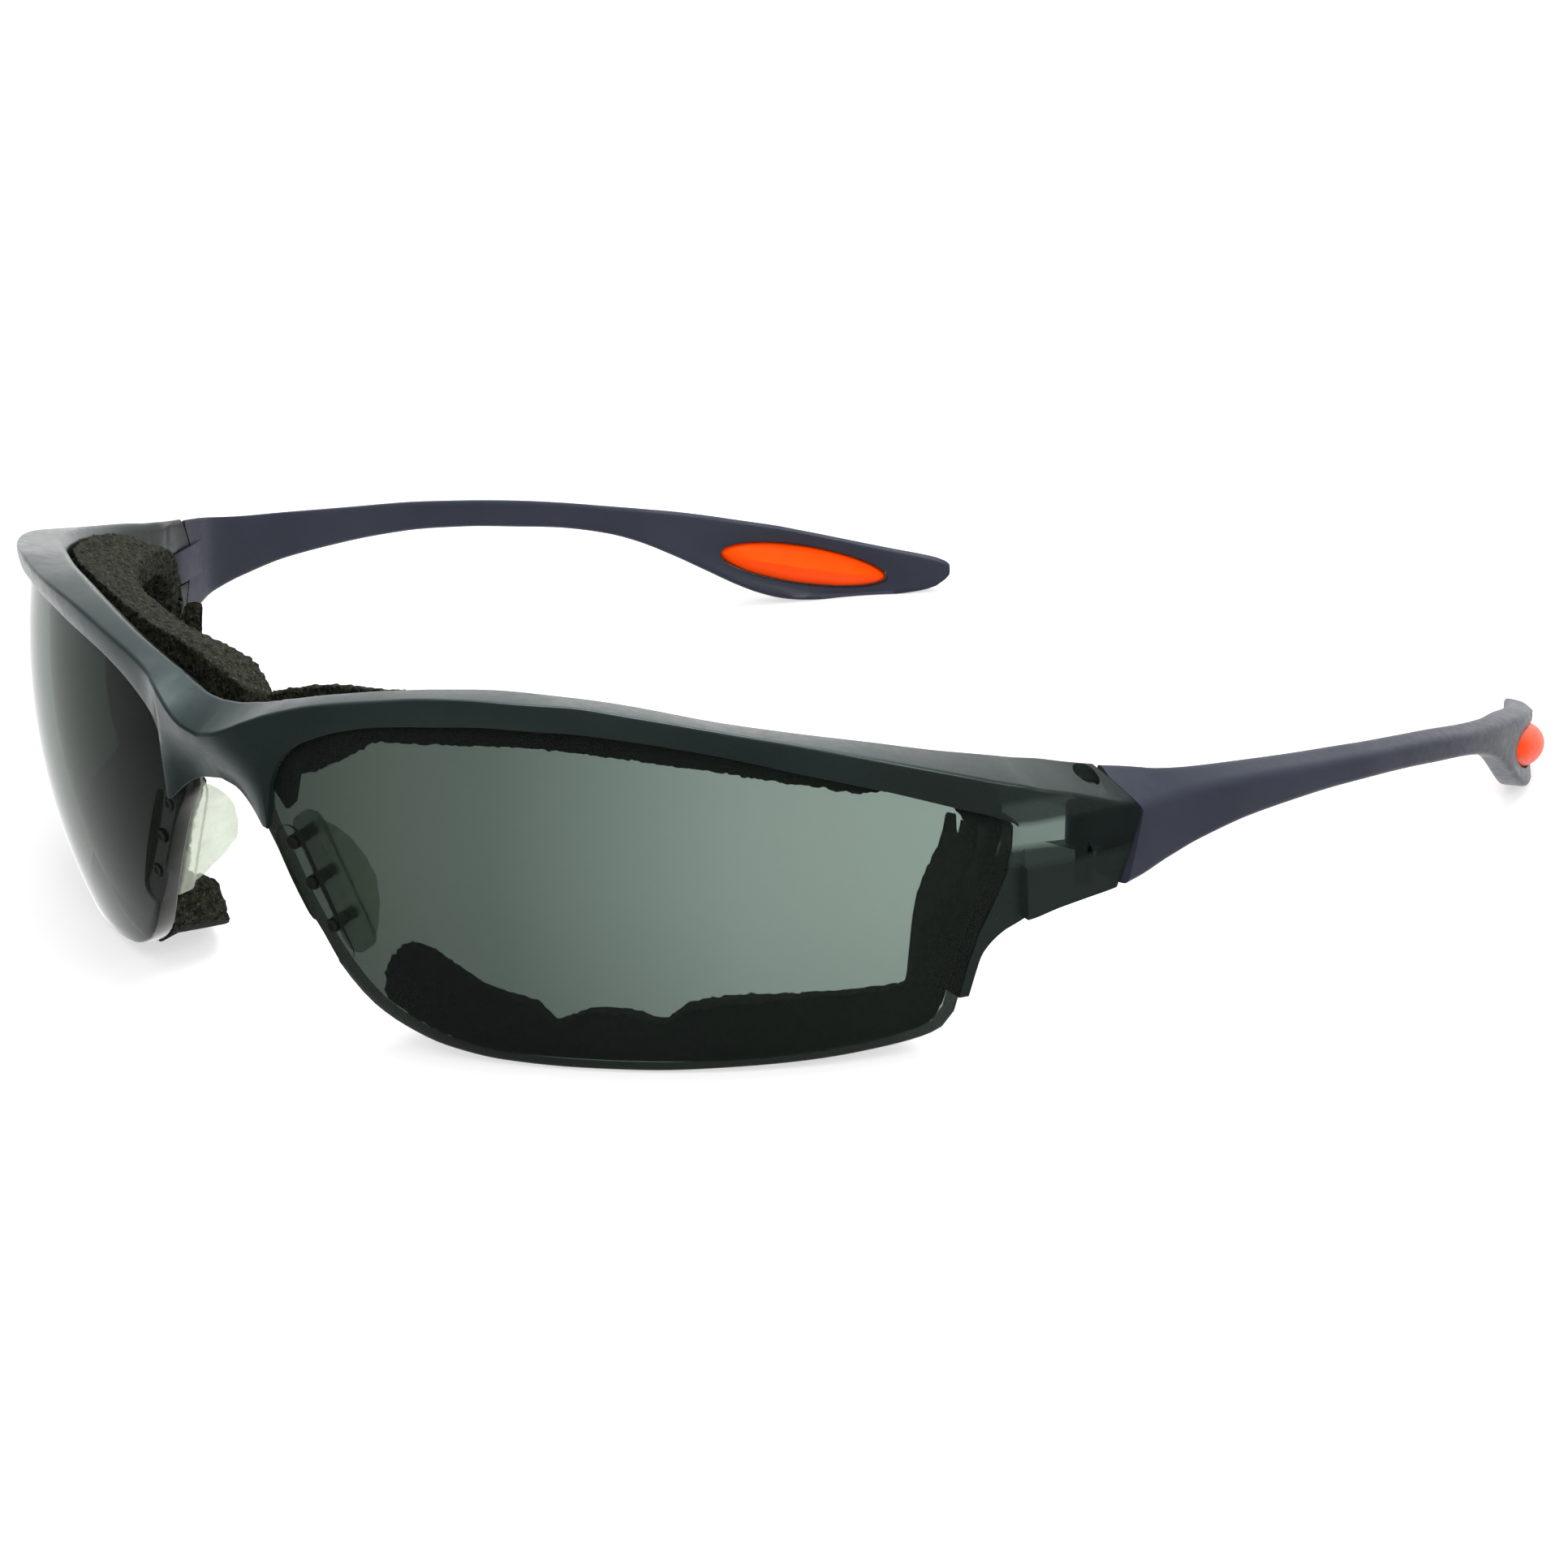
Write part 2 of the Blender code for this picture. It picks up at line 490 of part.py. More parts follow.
def nose_pad(name, side):
    clear = material("clear_rubber", (0.62, 0.66, 0.58), 0.45)
    pad = put(name, *loft(pad_oval(PAD_FRONT - PAD_THICKNESS, PAD_FRONT)), side=side, finish=clear)
    boolean(pad, "UNION", pad_wing(side))
    sockets = [put(f"stud_socket_{n}_{side}",
                   *rod(*stud_line(azimuth, z, STUD_INNER - 0.25, 70.0), STUD_RADIUS + 0.15, 16),
                   side=side) for n, (azimuth, z) in enumerate(STUDS)]
    boolean(pad, "DIFFERENCE", *sockets)


def nose_pad_stud(name, side, azimuth, z):
    dark = material("dark_stud", (0.03, 0.035, 0.03), 0.4)
    ends = stud_line(azimuth, z, STUD_INNER, STUD_OUTER)
    stud = put(name, *rod(*ends, STUD_RADIUS, 16), side=side, finish=dark)
    soften(stud, 0.12)


# ---------------------------------------------------------------- foam
def foam_section(outer_a, outer_z, inner_a, inner_z, *rear):
    """Band from the lens edge inwards, stepped where it passes the brow's inner lip or the web."""

    def point(w, radius, flat=False):
        azimuth = outer_a + (inner_a - outer_a) * w
        z = outer_z + (inner_z - outer_z) * w
        return around(azimuth, radius, z) if flat else on_sphere(azimuth, radius, z)

    if outer_z > FOAM_LEAVES_BROW:
        lip = (outer_z - curve(BROW, outer_a)[5] + 0.5) / (outer_z - inner_z)
        front = [point(w, FOAM_UNDER_BROW, True) for w in (0, 0.5 * min(lip, 0.9), min(lip, 0.9))]
        front += [point(lip + 0.06, FOAM_FRONT), point(1, FOAM_FRONT)] if lip < 0.9 else [
            point(0.95, FOAM_UNDER_BROW, True), point(1, FOAM_UNDER_BROW, True)]
    elif outer_a > WEB_AZIMUTH:
        step = (outer_a - curve(WEB, outer_z)[0] + 0.4) / (outer_a - inner_a)
        front = [point(w, FOAM_UNDER_BROW) for w in (0, 0.5 * step, step)]
        front += [point(step + 0.06, FOAM_FRONT), point(1, FOAM_FRONT)]
    else:
        front = [point(w, FOAM_FRONT) for w in (0, 0.25, 0.5, 0.75, 1)]
    outer = on_sphere(rear[0], rear[4], rear[1])
    inner = on_sphere(rear[2], rear[4], rear[3])
    behind = [between(front[-1], inner), inner, between(inner, outer), outer, between(outer, front[0])]
    return front + behind


def foam_gasket(name, side):
    foam = material("foam", (0.11, 0.10, 0.075), 0.95)
    put(name, *loft([foam_section(*row) for row in FOAM]), side=side, finish=foam)


# ---------------------------------------------------------------- temples
def temple_line(y):
    """Middle of a temple, its direction to the rear and its outward side."""
    x = curve(TEMPLE, y)[0]
    ahead = curve(TEMPLE, y + 0.5)[0] - curve(TEMPLE, y - 0.5)[0]
    run = Vector((ahead, 1.0, 0)).normalized()
    return Vector((x, y, 0)), run, Vector((run.y, -run.x, 0))


def temple_ring(y):
    _, half, top, bottom, fall = curve(TEMPLE, y)
    middle, _, out = temple_line(y)
    c = min(TEMPLE_EDGE, half * 0.4)
    loop = [(-half, bottom + c), (c - half, bottom), (half - c, bottom), (half, bottom + c),
            (half + 0.1, (bottom + top - fall) / 2), (half, top - fall - 0.5 * c),
            (half - c, top - fall * (1 - c / (2 * half)) + 0.15 * c), (c - half, top), (-half, top - c)]
    return [tuple(middle + out * a + Vector((0, 0, z))) for a, z in loop]


def insert_skin(side, grow, name, finish=None, through=None):
    """Oval body set through the temple tip; through makes it a straight window instead."""
    rings = []
    length, depth, height = (half + grow for half in INSERT_HALF)
    count, n = 14, 16
    for i in range(1, count):
        s = -math.cos(math.pi * i / count)
        y = INSERT_MIDDLE[0] + s * length * 0.84
        middle, _, out = temple_line(y)
        middle.z = INSERT_MIDDLE[1] - s * length * INSERT_FALL
        spread = math.sqrt(1 - s * s)
        ring = []
        for k in range(n):
            t = math.tau * k / n
            across = through * math.copysign(1, math.cos(t)) if through else depth * spread * math.cos(t)
            if through and abs(math.cos(t)) < 1e-6:
                across = 0.0
            ring.append(tuple(middle + out * across + Vector((0, 0, height * spread * math.sin(t)))))
        rings.append(ring)
    return put(name, *loft(rings), side=side, pivot=pin_point() if finish else (0, 0, 0), finish=finish)


def pin_point():
    return (PIN_X, PIN_Y, (TONGUE_Z[0] + TONGUE_Z[1]) / 2)


def tongue(side):
    """Round eye about the pin and its neck into the temple."""
    eye = [(PIN_X + EYE_RADIUS * math.cos(t), PIN_Y + EYE_RADIUS * math.sin(t))
           for t in (math.pi + math.pi * i / 12 for i in range(13))]
    outline = eye + [(PIN_X + EYE_RADIUS, 4.2), (PIN_X + 0.4, 4.2), (PIN_X - 0.6, 2.0),
                     (PIN_X - 1.5, PIN_Y + 1.6)]
    return put(f"tongue_{side}", *prism(outline, *TONGUE_Z, "Z"), side=side)


def temple(name, side):
    charcoal = material("charcoal_temple", (0.035, 0.033, 0.042), 0.4)
    rings = [temple_ring(y) for y in stations(TEMPLE, 3.5)]
    arm = put(name, *loft(rings), side=side, pivot=pin_point(), finish=charcoal)
    pin_line = ((PIN_X, PIN_Y, 10.0), (PIN_X, PIN_Y, 40.0))
    notch = [(y + END_GAP, z) for y, z in CHEVRON] + [(-4.0, 12.0), (-4.0, 33.0)]
    boolean(arm, "DIFFERENCE",
            put(f"temple_notch_{side}", *prism(notch, 60.0, 75.0, "X"), side=side),
            put(f"knuckle_relief_{side}", *rod(*pin_line, KNUCKLE_RELIEF, 48), side=side))
    boolean(arm, "UNION", tongue(side))
    boolean(arm, "DIFFERENCE",
            put(f"tongue_hole_{side}", *rod(*pin_line, PIN_HOLE_RADIUS), side=side),
            insert_skin(side, INSERT_FIT, f"insert_window_{side}", through=6.0))


def temple_insert(name, side):
    orange = material("orange_insert", (1.0, 0.14, 0.01), 0.25)
    insert_skin(side, 0.0, name, finish=orange)


def hinge_pin(name, side):
    steel = material("pin_steel", (0.16, 0.16, 0.16), 0.35, 1.0)
    low, high = PIN_Z
    neck = high - HEAD_HEIGHT
    profile = ((PIN_RADIUS - 0.15, low), (PIN_RADIUS, low + 0.2), (PIN_RADIUS, neck),
               (PIN_HEAD_RADIUS, neck + 0.02), (PIN_HEAD_RADIUS, high - 0.2), (PIN_HEAD_RADIUS - 0.2, high))
    put(name, *turned(profile, PIN_X, PIN_Y), side=side, finish=steel)


def main():
    start()
    front_frame()
    for hand, side in (("left", 1), ("right", -1)):
        lens(f"lens_{hand}", side)
        foam_gasket(f"foam_gasket_{hand}", side)
        nose_pad(f"nose_pad_{hand}", side)
        for n, (azimuth, z) in enumerate(STUDS, 1):
            nose_pad_stud(f"nose_pad_stud_{hand}_{n}", side, azimuth, z)
        hinge_pin(f"hinge_pin_{hand}", side)
        temple(f"temple_{hand}", side)
        temple_insert(f"temple_insert_{hand}", side)


main()
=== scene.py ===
"""Safety glasses: smoke lenses under a half-rim brow, foam gaskets, rubber nose pads and folding
temples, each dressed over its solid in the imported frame.

Tables are millimetres and degrees.  X runs to the wearer's left, Y to the rear from the hinge
line, Z up from the table.  Each eye has its own upright axis EYE_AXIS; "azimuth" is measured
about it from straight ahead towards the temple.
"""
import math

import bmesh
import bpy
from mathutils import Matrix, Vector, noise


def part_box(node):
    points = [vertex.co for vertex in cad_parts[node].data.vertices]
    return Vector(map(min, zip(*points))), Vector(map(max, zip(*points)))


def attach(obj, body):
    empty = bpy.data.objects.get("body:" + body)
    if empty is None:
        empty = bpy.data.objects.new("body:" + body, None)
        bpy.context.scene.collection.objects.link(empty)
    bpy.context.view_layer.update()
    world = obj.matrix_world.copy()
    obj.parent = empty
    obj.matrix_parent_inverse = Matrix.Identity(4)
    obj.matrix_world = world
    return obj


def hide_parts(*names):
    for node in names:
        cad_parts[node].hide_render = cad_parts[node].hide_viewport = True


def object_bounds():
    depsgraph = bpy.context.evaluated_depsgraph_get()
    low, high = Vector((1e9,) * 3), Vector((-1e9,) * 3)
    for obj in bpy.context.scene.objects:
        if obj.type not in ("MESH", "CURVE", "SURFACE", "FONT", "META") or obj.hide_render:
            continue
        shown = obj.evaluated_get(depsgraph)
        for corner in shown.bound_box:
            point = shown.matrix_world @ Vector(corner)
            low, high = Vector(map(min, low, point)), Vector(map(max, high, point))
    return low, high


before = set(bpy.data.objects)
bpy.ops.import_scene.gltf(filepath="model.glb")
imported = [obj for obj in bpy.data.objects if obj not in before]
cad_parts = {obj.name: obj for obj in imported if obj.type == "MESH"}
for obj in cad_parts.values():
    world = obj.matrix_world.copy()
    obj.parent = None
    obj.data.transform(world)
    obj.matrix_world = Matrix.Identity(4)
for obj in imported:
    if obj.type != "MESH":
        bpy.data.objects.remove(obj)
cad_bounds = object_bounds()

MM = 0.001

EYE_AXIS = (2.3, 7.7)
LENS_LEVEL = 27.3           # height of the lens sphere's centre
LENS_RADIUS = 66.5
LENS_THICKNESS = 2.2
LENS_FIT = 0.3              # clearance round a lens in its groove
LENS_STEP = 1.0             # most degrees between two columns of a lens's grid
LENS_ROWS = 26              # spaces from its lower to its upper edge
LENS_RIM = ((0.08, 0.09), (0.25, 0.0), (1.95, 0.0), (2.12, 0.09))     # depth and inset of the rounded edge
LENS_INSET = 0.28           # how far the rounding pulls in the two faces
EDGE_FACING = 0.6           # a face turned farther than this cosine from the lens's square is its edge
GROOVE_STEP = 1.5
GROOVE_ROWS = 12

CORNER_SHARE = 0.48         # most of an edge that the rounding of one corner takes
BROW_STEP = 0.9
BROW_EDGE_ROUND = 0.15
BROW_RIDGE_ROUND = 0.45
BROW_CROWN = (0.12, 2.0)    # bulge of the front face, and the reach of its curve
BROW_BACK = (0.7, 0.4, 0.6)     # slope and drop from the rear edge to the back, and the rounding there
WEB_STEP = 0.8
WEB_RADII = (62.3, 66.6)    # inner and outer face of the web, from the lens centre
MIRROR_MERGE = 0.00005      # metres

PIN_X, PIN_Y = 66.8, -2.4
PIN_RADIUS = 0.7
PIN_HEAD_RADIUS = 1.15
PIN_HOLE_RADIUS = 0.95
PIN_Z = (17.2, 27.5)
HEAD_HEIGHT = 0.9
SLOT_Z = (21.2, 25.7)
TONGUE_Z = (21.5, 25.4)
EYE_RADIUS = 2.0            # round end of a temple's tongue
TONGUE_NECK = ((EYE_RADIUS, 4.2), (0.4, 4.2), (-0.6, 2.0), (-1.5, -0.8))       # X from the pin, and Y
KNUCKLE_RELIEF = 3.0        # round space cut in a temple about its pin
SLOT_REACH = 2.4
HEAD_ROOM = 0.25            # clearance round a pin's head
END_GAP = 0.35              # space between an endpiece and its temple
CHEVRON = ((-0.6, 33.0), (-0.45, 29.0), (1.8, 24.4), (-0.5, 16.4), (-0.5, 11.0))      # Y, Z of the joint face
BEHIND_CHEVRON = ((9.0, 12.0), (9.0, 33.0))         # rest of the cutter that ends an endpiece
AHEAD_OF_CHEVRON = ((-4.0, 12.0), (-4.0, 33.0))     # rest of the cutter that starts a temple
END_CUT_X = (60.0, 75.0)
SLOT_CUT = (55.0, 9.0)      # X and Y where the slot's cutter stops, outside the endpiece
PIN_CUT_Z = (10.0, 40.0)
PIN_SIDES = 40

STUDS = ((5.8, 22.0), (7.5, 17.9), (9.2, 13.5))     # azimuth and height on the lens
STUD_RADIUS = 0.6
STUD_HOLE_RADIUS = 0.8
STUD_HEAD = 66.1            # distances from the lens centre, in line with the middle stud
STUD_INNER = 62.4
STUD_CUT = (60.0, 70.0)
STUD_SIDES = 32
SOCKET_ROOM = (0.15, 0.25)  # clearance of a stud in its pad, round it and behind it
SOCKET_SIDES = 28
PAD_FRONT = 63.55
PAD_THICKNESS = 1.7
PAD_PLATE_HALF = (7.8, 1.6)
PAD_PLATE_SHIFT = -0.8
PAD_SIDES = 48
PAD_RECESS = ((65.75, -0.1), (65.87, 0.0), (70.0, 0.0))     # distance from the lens centre and growth
PAD_VOXEL = 0.16
WING_STEP = 0.35
WING_POINTS = 56
WING_THICK = 0.95           # half thickness of the flap at the plate
WING_THINNING = 0.06        # and its loss per millimetre of depth
WING_THINNEST = 0.05
WING_BLUNT = 8              # power that keeps the flap's thickness up to its rounded sides
WING_LEAN = 0.01
RIB_HEIGHT = 0.16
RIB_PITCH = 2.3
RIB_START = 1.2             # depth where the ribs begin

FOAM_VOXEL = 0.34
PORE_SCALE = 0.85           # pores per millimetre
PORE_WIDTH = 0.5            # in pore spacings
PORE_DEPTH = 0.6
TEAR_SCALE = 1.6            # waves of the torn surface per millimetre
TEAR_DEPTH = 0.28
FOAM_SWELL = 0.15           # mean swell that makes up for the pores
BROW_SWELL = 0.8            # swell of the top face over the nose
NOSE_FOAM = 20.0            # this close to the nose the foam swells over the brow
LOW_FOAM = 10.0             # nearer than this to the lens's lower edge the foam hangs down to it
FOAM_SAG = 2.0
FOAM_HEM = 0.35             # least height over the lens's lower edge and the table
FOAM_CORNER = 2.4           # degrees the foam is drawn out towards the temple at its low corner
FOAM_CORNER_TOP = 11.0      # height below which it starts
FOAM_CORNER_RISE = 4.0      # and over which it grows
FOAM_TURN = 58.0            # azimuth past which it starts
FOAM_TURN_SPAN = 5.0        # and over which it grows
FOAM_GLUED = 62.5           # foam farther than this from the lens centre is glued flat at the next distance
FOAM_REACH = 64.1

TEMPLE_STEP = 1.0
TEMPLE_ROUND = 0.7
TEMPLE_SHOULDER_ROUND = 0.8
TEMPLE_CROWN = (0.1, 2.0)   # bulge of the outer face, and the reach of its curve
WALL_STEP = 0.9             # most millimetres between points up a temple's side
INSERT_MIDDLE = (96.2, 4.9)
INSERT_HALF = (11.8, 2.9, 2.6)      # along the temple, across it and up
INSERT_SHARE = 0.84         # part of the length that shows as Y, the temple being bent there
INSERT_FALL = 0.22
INSERT_FIT = 0.06
INSERT_CREASE = 0.35        # depth of the fold along the insert's inner side
INSERT_COUNT = 40
WINDOW_HALF = 6.0
DISH_DEPTH = 0.6            # dish of the temple round its insert
DISH_LENGTH = 1.22          # in insert lengths
DISH_MARGIN = 1.5           # over and under the insert

# the studio, in metres
FLOOR_SIZE = 6.0
ROOM_DARK = 0.10
# glows of the room, as direction, the cosines where each starts and is full, and strength
ROOM_GLOWS = (((0.0, 0.0, 1.0), 0.35, 0.95, 0.7), ((-0.75, 0.55, -0.25), 0.0, 0.95, 1.3))
# lamps, as name, place from the middle of the glasses, size and power
LAMPS = (("top_softbox", (0.05, 0.10, 0.60), 0.50, 4.2), ("side_softbox", (0.75, 0.10, 0.45), 0.40, 3.2),
         ("fill_softbox", (0.40, -0.60, 0.40), 0.50, 3.5))
UNREFLECTED_LAMP = "fill_softbox"
CAMERA_PLACE = (0.4165, -0.48982, 0.22266)
CAMERA_AXES = ((0.7623, 0.6471, 0.0103),        # right
               (-0.2145, 0.2377, 0.9474),       # up
               (0.6106, -0.7245, 0.3200))       # back
CAMERA_LENS = 138.6
CAMERA_CLIP = (0.01, 50.0)

# lens edge, as (azimuth, lowest height, highest height)
LENS_EDGE = (
    (2.6, 24.6, 30.0), (3.1, 23.5, 32.2), (4.3, 21.2, 34.0), (5.5, 18.2, 34.7), (6.9, 14.9, 35.1),
    (8.8, 11.0, 35.7), (10.6, 7.8, 36.5), (12.6, 5.2, 37.1), (15.5, 3.1, 37.6), (19.5, 1.4, 38.3),
    (25.1, 0.5, 38.7), (32.1, 0.3, 38.85), (39.1, 0.3, 38.3), (47.1, 0.6, 36.6), (55.1, 1.0, 34.0),
    (61.1, 1.6, 31.9), (65.6, 2.3, 29.8), (67.6, 3.1, 28.7), (68.5, 4.8, 28.2), (69.0, 11.0, 27.9),
    (69.6, 14.2, 27.5), (70.8, 17.5, 26.9), (71.8, 20.5, 26.1), (72.3, 22.8, 25.3),
)

# brow bar and endpiece, as azimuth, then (distance from the eye axis, height) of the ridge,
# the rear edge of the top face, the inner lower edge and the front lower edge
BROW = (
    (-2.0, 70.3, 32.7, 66.2, 35.6, 64.4, 29.0, 66.6, 27.1),
    (0.0, 70.3, 33.3, 65.9, 35.7, 64.2, 28.4, 66.8, 26.8),
    (1.5, 70.0, 34.1, 65.5, 36.0, 63.8, 27.4, 67.1, 26.0),
    (2.7, 69.6, 34.9, 65.2, 36.2, 63.2, 26.1, 67.3, 24.8),
    (3.6, 69.2, 35.4, 65.0, 36.5, 62.8, 25.1, 67.5, 23.7),
    (4.1, 69.0, 35.7, 65.0, 36.6, 62.7, 25.3, 67.5, 23.5),
    (4.5, 68.8, 35.9, 64.9, 36.8, 62.4, 28.7, 67.5, 28.4),
    (5.2, 68.5, 36.2, 64.9, 37.0, 62.3, 30.7, 67.5, 30.4),
    (6.2, 68.0, 36.6, 64.9, 37.3, 62.2, 32.3, 67.4, 32.0),
    (8.0, 67.6, 37.3, 64.9, 37.9, 62.2, 33.8, 67.35, 33.5),
    (11.0, 67.35, 38.2, 64.8, 38.7, 62.2, 35.4, 67.2, 35.1),
    (15.0, 67.3, 39.2, 64.5, 39.6, 62.2, 36.6, 67.1, 36.4),
    (20.0, 67.6, 40.3, 64.1, 40.4, 62.2, 37.4, 67.0, 37.2),
    (26.0, 68.1, 40.9, 63.8, 40.9, 62.2, 37.9, 67.0, 37.8),
    (32.0, 68.0, 40.9, 63.3, 40.5, 62.2, 37.9, 67.0, 37.8),
    (38.0, 67.7, 40.0, 62.8, 39.6, 62.1, 37.4, 67.05, 37.2),
    (45.0, 67.5, 38.5, 62.8, 38.1, 62.1, 36.0, 67.1, 35.8),
    (52.0, 67.5, 36.8, 62.8, 36.7, 62.1, 33.9, 67.2, 33.7),
    (59.0, 67.7, 34.7, 62.7, 35.2, 62.1, 31.6, 67.3, 31.4),
    (66.0, 67.9, 32.3, 62.6, 33.4, 62.0, 28.9, 67.4, 28.6),
    (70.0, 68.0, 30.8, 62.5, 32.4, 61.9, 27.5, 67.5, 26.9),
    (72.6, 68.2, 29.9, 62.4, 31.7, 61.9, 25.9, 67.5, 25.1),
    (73.3, 68.2, 29.6, 62.4, 31.5, 61.9, 21.5, 67.2, 20.6),
    (74.0, 68.3, 29.3, 62.4, 31.3, 61.9, 15.3, 66.6, 14.9),
    (77.0, 68.4, 28.3, 62.5, 30.6, 62.1, 15.8, 66.8, 15.5),
    (80.0, 68.6, 27.1, 63.3, 29.8, 63.1, 16.3, 67.2, 16.0),
    (83.0, 68.7, 25.8, 64.2, 29.1, 63.9, 16.8, 67.8, 16.5),
    (86.5, 68.8, 24.6, 64.9, 28.4, 64.6, 17.4, 68.2, 17.1),
)

# web running down the temple side of a lens, as (height, first azimuth, last azimuth)
WEB = (
    (6.6, 67.4, 69.7), (9.0, 67.6, 69.9), (11.2, 67.8, 70.2), (12.8, 68.0, 71.1), (13.9, 68.2, 72.4),
    (15.1, 68.6, 75.0), (16.8, 69.2, 76.2), (19.0, 70.1, 76.5), (22.5, 70.8, 76.5), (26.3, 71.0, 76.0),
)

# temple, as Y, then X of the middle, half thickness, top, bottom and outward fall of the top
TEMPLE = (
    (-1.2, 68.1, 2.6, 29.2, 16.8, 4.2), (3.0, 68.9, 1.95, 28.4, 17.3, 3.6),
    (7.0, 69.55, 1.4, 27.5, 18.1, 2.8), (12.0, 69.8, 1.3, 26.5, 18.8, 2.1),
    (20.0, 70.1, 1.3, 25.2, 19.3, 1.6), (30.0, 70.2, 1.3, 23.6, 19.0, 1.3),
    (40.0, 70.1, 1.25, 22.1, 18.2, 1.2), (50.0, 69.2, 1.2, 20.4, 16.8, 1.1),
    (58.0, 68.0, 1.2, 18.9, 15.3, 1.0), (65.0, 66.7, 1.2, 17.4, 13.9, 1.0),
    (71.5, 65.0, 1.25, 15.9, 12.1, 0.9), (76.0, 63.6, 1.3, 14.9, 10.3, 0.9),
    (80.5, 61.8, 1.4, 13.9, 7.9, 0.8), (84.5, 60.1, 1.5, 12.9, 5.5, 0.8),
    (88.5, 58.4, 1.55, 11.8, 3.1, 0.8), (91.5, 57.0, 1.6, 11.0, 1.6, 0.8),
    (94.0, 55.8, 1.6, 10.3, 0.7, 0.8), (96.5, 54.4, 1.6, 9.5, 0.2, 0.8),
    (99.0, 53.0, 1.6, 8.7, 0.0, 0.8), (103.0, 50.4, 1.5, 7.4, 0.0, 0.8),
    (107.0, 47.4, 1.4, 6.1, 0.0, 0.7), (109.5, 45.4, 1.3, 5.3, 0.25, 0.6),
    (111.1, 43.9, 1.1, 4.7, 0.8, 0.5), (111.9, 43.2, 0.85, 4.2, 1.5, 0.4),
    (112.2, 42.9, 0.7, 3.8, 2.0, 0.3),
)

PAD_WING = (                    # depth behind the plate's front, lower end, upper end, drift to the nose
    (0.8, -8.7, 7.2, 0.0), (2.5, -8.2, 5.8, -0.1), (4.2, -7.1, 4.3, -0.3),
    (5.6, -5.6, 2.6, -0.5), (6.4, -4.4, 0.8, -0.7), (6.9, -3.3, -1.2, -0.8),
)


def curve(table, t):
    """Values of a table at t, joined smoothly without overshoot."""
    k = max(i for i in range(len(table) - 1) if i == 0 or table[i][0] <= t)
    a, b = table[k], table[k + 1]
    span = b[0] - a[0]
    u = min(max((t - a[0]) / span, 0.0), 1.0)
    values = []
    for c in range(1, len(a)):
        start, end = tangent(table, k, c) * span, tangent(table, k + 1, c) * span
        bend = (2 * u ** 3 - 3 * u ** 2 + 1) * a[c] + (3 * u ** 2 - 2 * u ** 3) * b[c]
        values.append(bend + (u ** 3 - 2 * u ** 2 + u) * start + (u ** 3 - u ** 2) * end)
    return values


def tangent(table, k, c):
    """Slope of column c at row k: flat at a turn, else the harmonic mean of both sides."""
    sides = [(table[i + 1][c] - table[i][c]) / (table[i + 1][0] - table[i][0])
             for i in (k - 1, k) if 0 <= i < len(table) - 1]
    if len(sides) == 1:
        return sides[0]
    if sides[0] * sides[1] <= 0:
        return 0.0
    return 2 * sides[0] * sides[1] / (sides[0] + sides[1])


def stations(table, step):
    """The table's own parameters with even ones between, at most a step apart."""
    found = []
    for a, b in zip(table, table[1:]):
        n = max(1, math.ceil((b[0] - a[0]) / step))
        found += [a[0] + (b[0] - a[0]) * i / n for i in range(n)]
    return found + [table[-1][0]]


def around(azimuth, distance, z):
    """Point at a distance from the eye axis."""
    a = math.radians(azimuth)
    return (EYE_AXIS[0] + distance * math.sin(a), EYE_AXIS[1] - distance * math.cos(a), z)


def on_sphere(azimuth, radius, z):
    """Point at a distance from the lens centre."""
    return around(azimuth, math.sqrt(radius ** 2 - (z - LENS_LEVEL) ** 2), z)


def loft(rings, first_cap=True, last_cap=True):
    """Points and faces of a skin over equal rings."""
    n = len(rings[0])
    points = [p for ring in rings for p in ring]
    faces = [(r * n + i, r * n + (i + 1) % n, (r + 1) * n + (i + 1) % n, (r + 1) * n + i)
             for r in range(len(rings) - 1) for i in range(n)]
    if first_cap:
        faces.append(tuple(range(n)))
    if last_cap:
        faces.append(tuple((len(rings) - 1) * n + i for i in range(n)))
    return points, faces


def prism(outline, low, high, axis):
    """A flat outline of (a, b) points run from low to high along an axis."""
    order = {"X": lambda a, b, t: (t, a, b), "Z": lambda a, b, t: (a, b, t)}[axis]
    return loft([[order(a, b, t) for a, b in outline] for t in (low, high)])


def rod(start_point, end_point, radius, count=24):
    """A round bar between two points."""
    a, b = Vector(start_point), Vector(end_point)
    turn = (b - a).to_track_quat("Z", "Y")
    spokes = [turn @ Vector((math.cos(i * math.tau / count), math.sin(i * math.tau / count), 0))
              for i in range(count)]
    return loft([[tuple(end + s * radius) for s in spokes] for end in (a, b)])


def fillet(before, corner, after, reach, count=4):
    """Points that round a corner over a reach on both sides."""
    k, a, b = Vector(corner), Vector(before), Vector(after)
    to_a, to_b = a - k, b - k
    to_a *= min(reach, CORNER_SHARE * to_a.length) / to_a.length
    to_b *= min(reach, CORNER_SHARE * to_b.length) / to_b.length
    return [tuple(k + to_a * (1 - t) ** 2 + to_b * t ** 2) for t in (i / count for i in range(count + 1))]


def rounded_loop(corners, count=4):
    """Closed loop through (a, b, reach) corners, each rounded."""
    points = [c[:2] for c in corners]
    loop = []
    for i, (_, _, reach) in enumerate(corners):
        loop += fillet(points[i - 1], points[i], points[(i + 1) % len(points)], reach, count)
    return loop


# ---------------------------------------------------------------- objects
pin_low, pin_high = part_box("hinge_pin_left")
ORIGIN = Vector((0, (pin_low.y + pin_high.y) / 2 - PIN_Y * MM, 0))      # the tables' origin in the frame


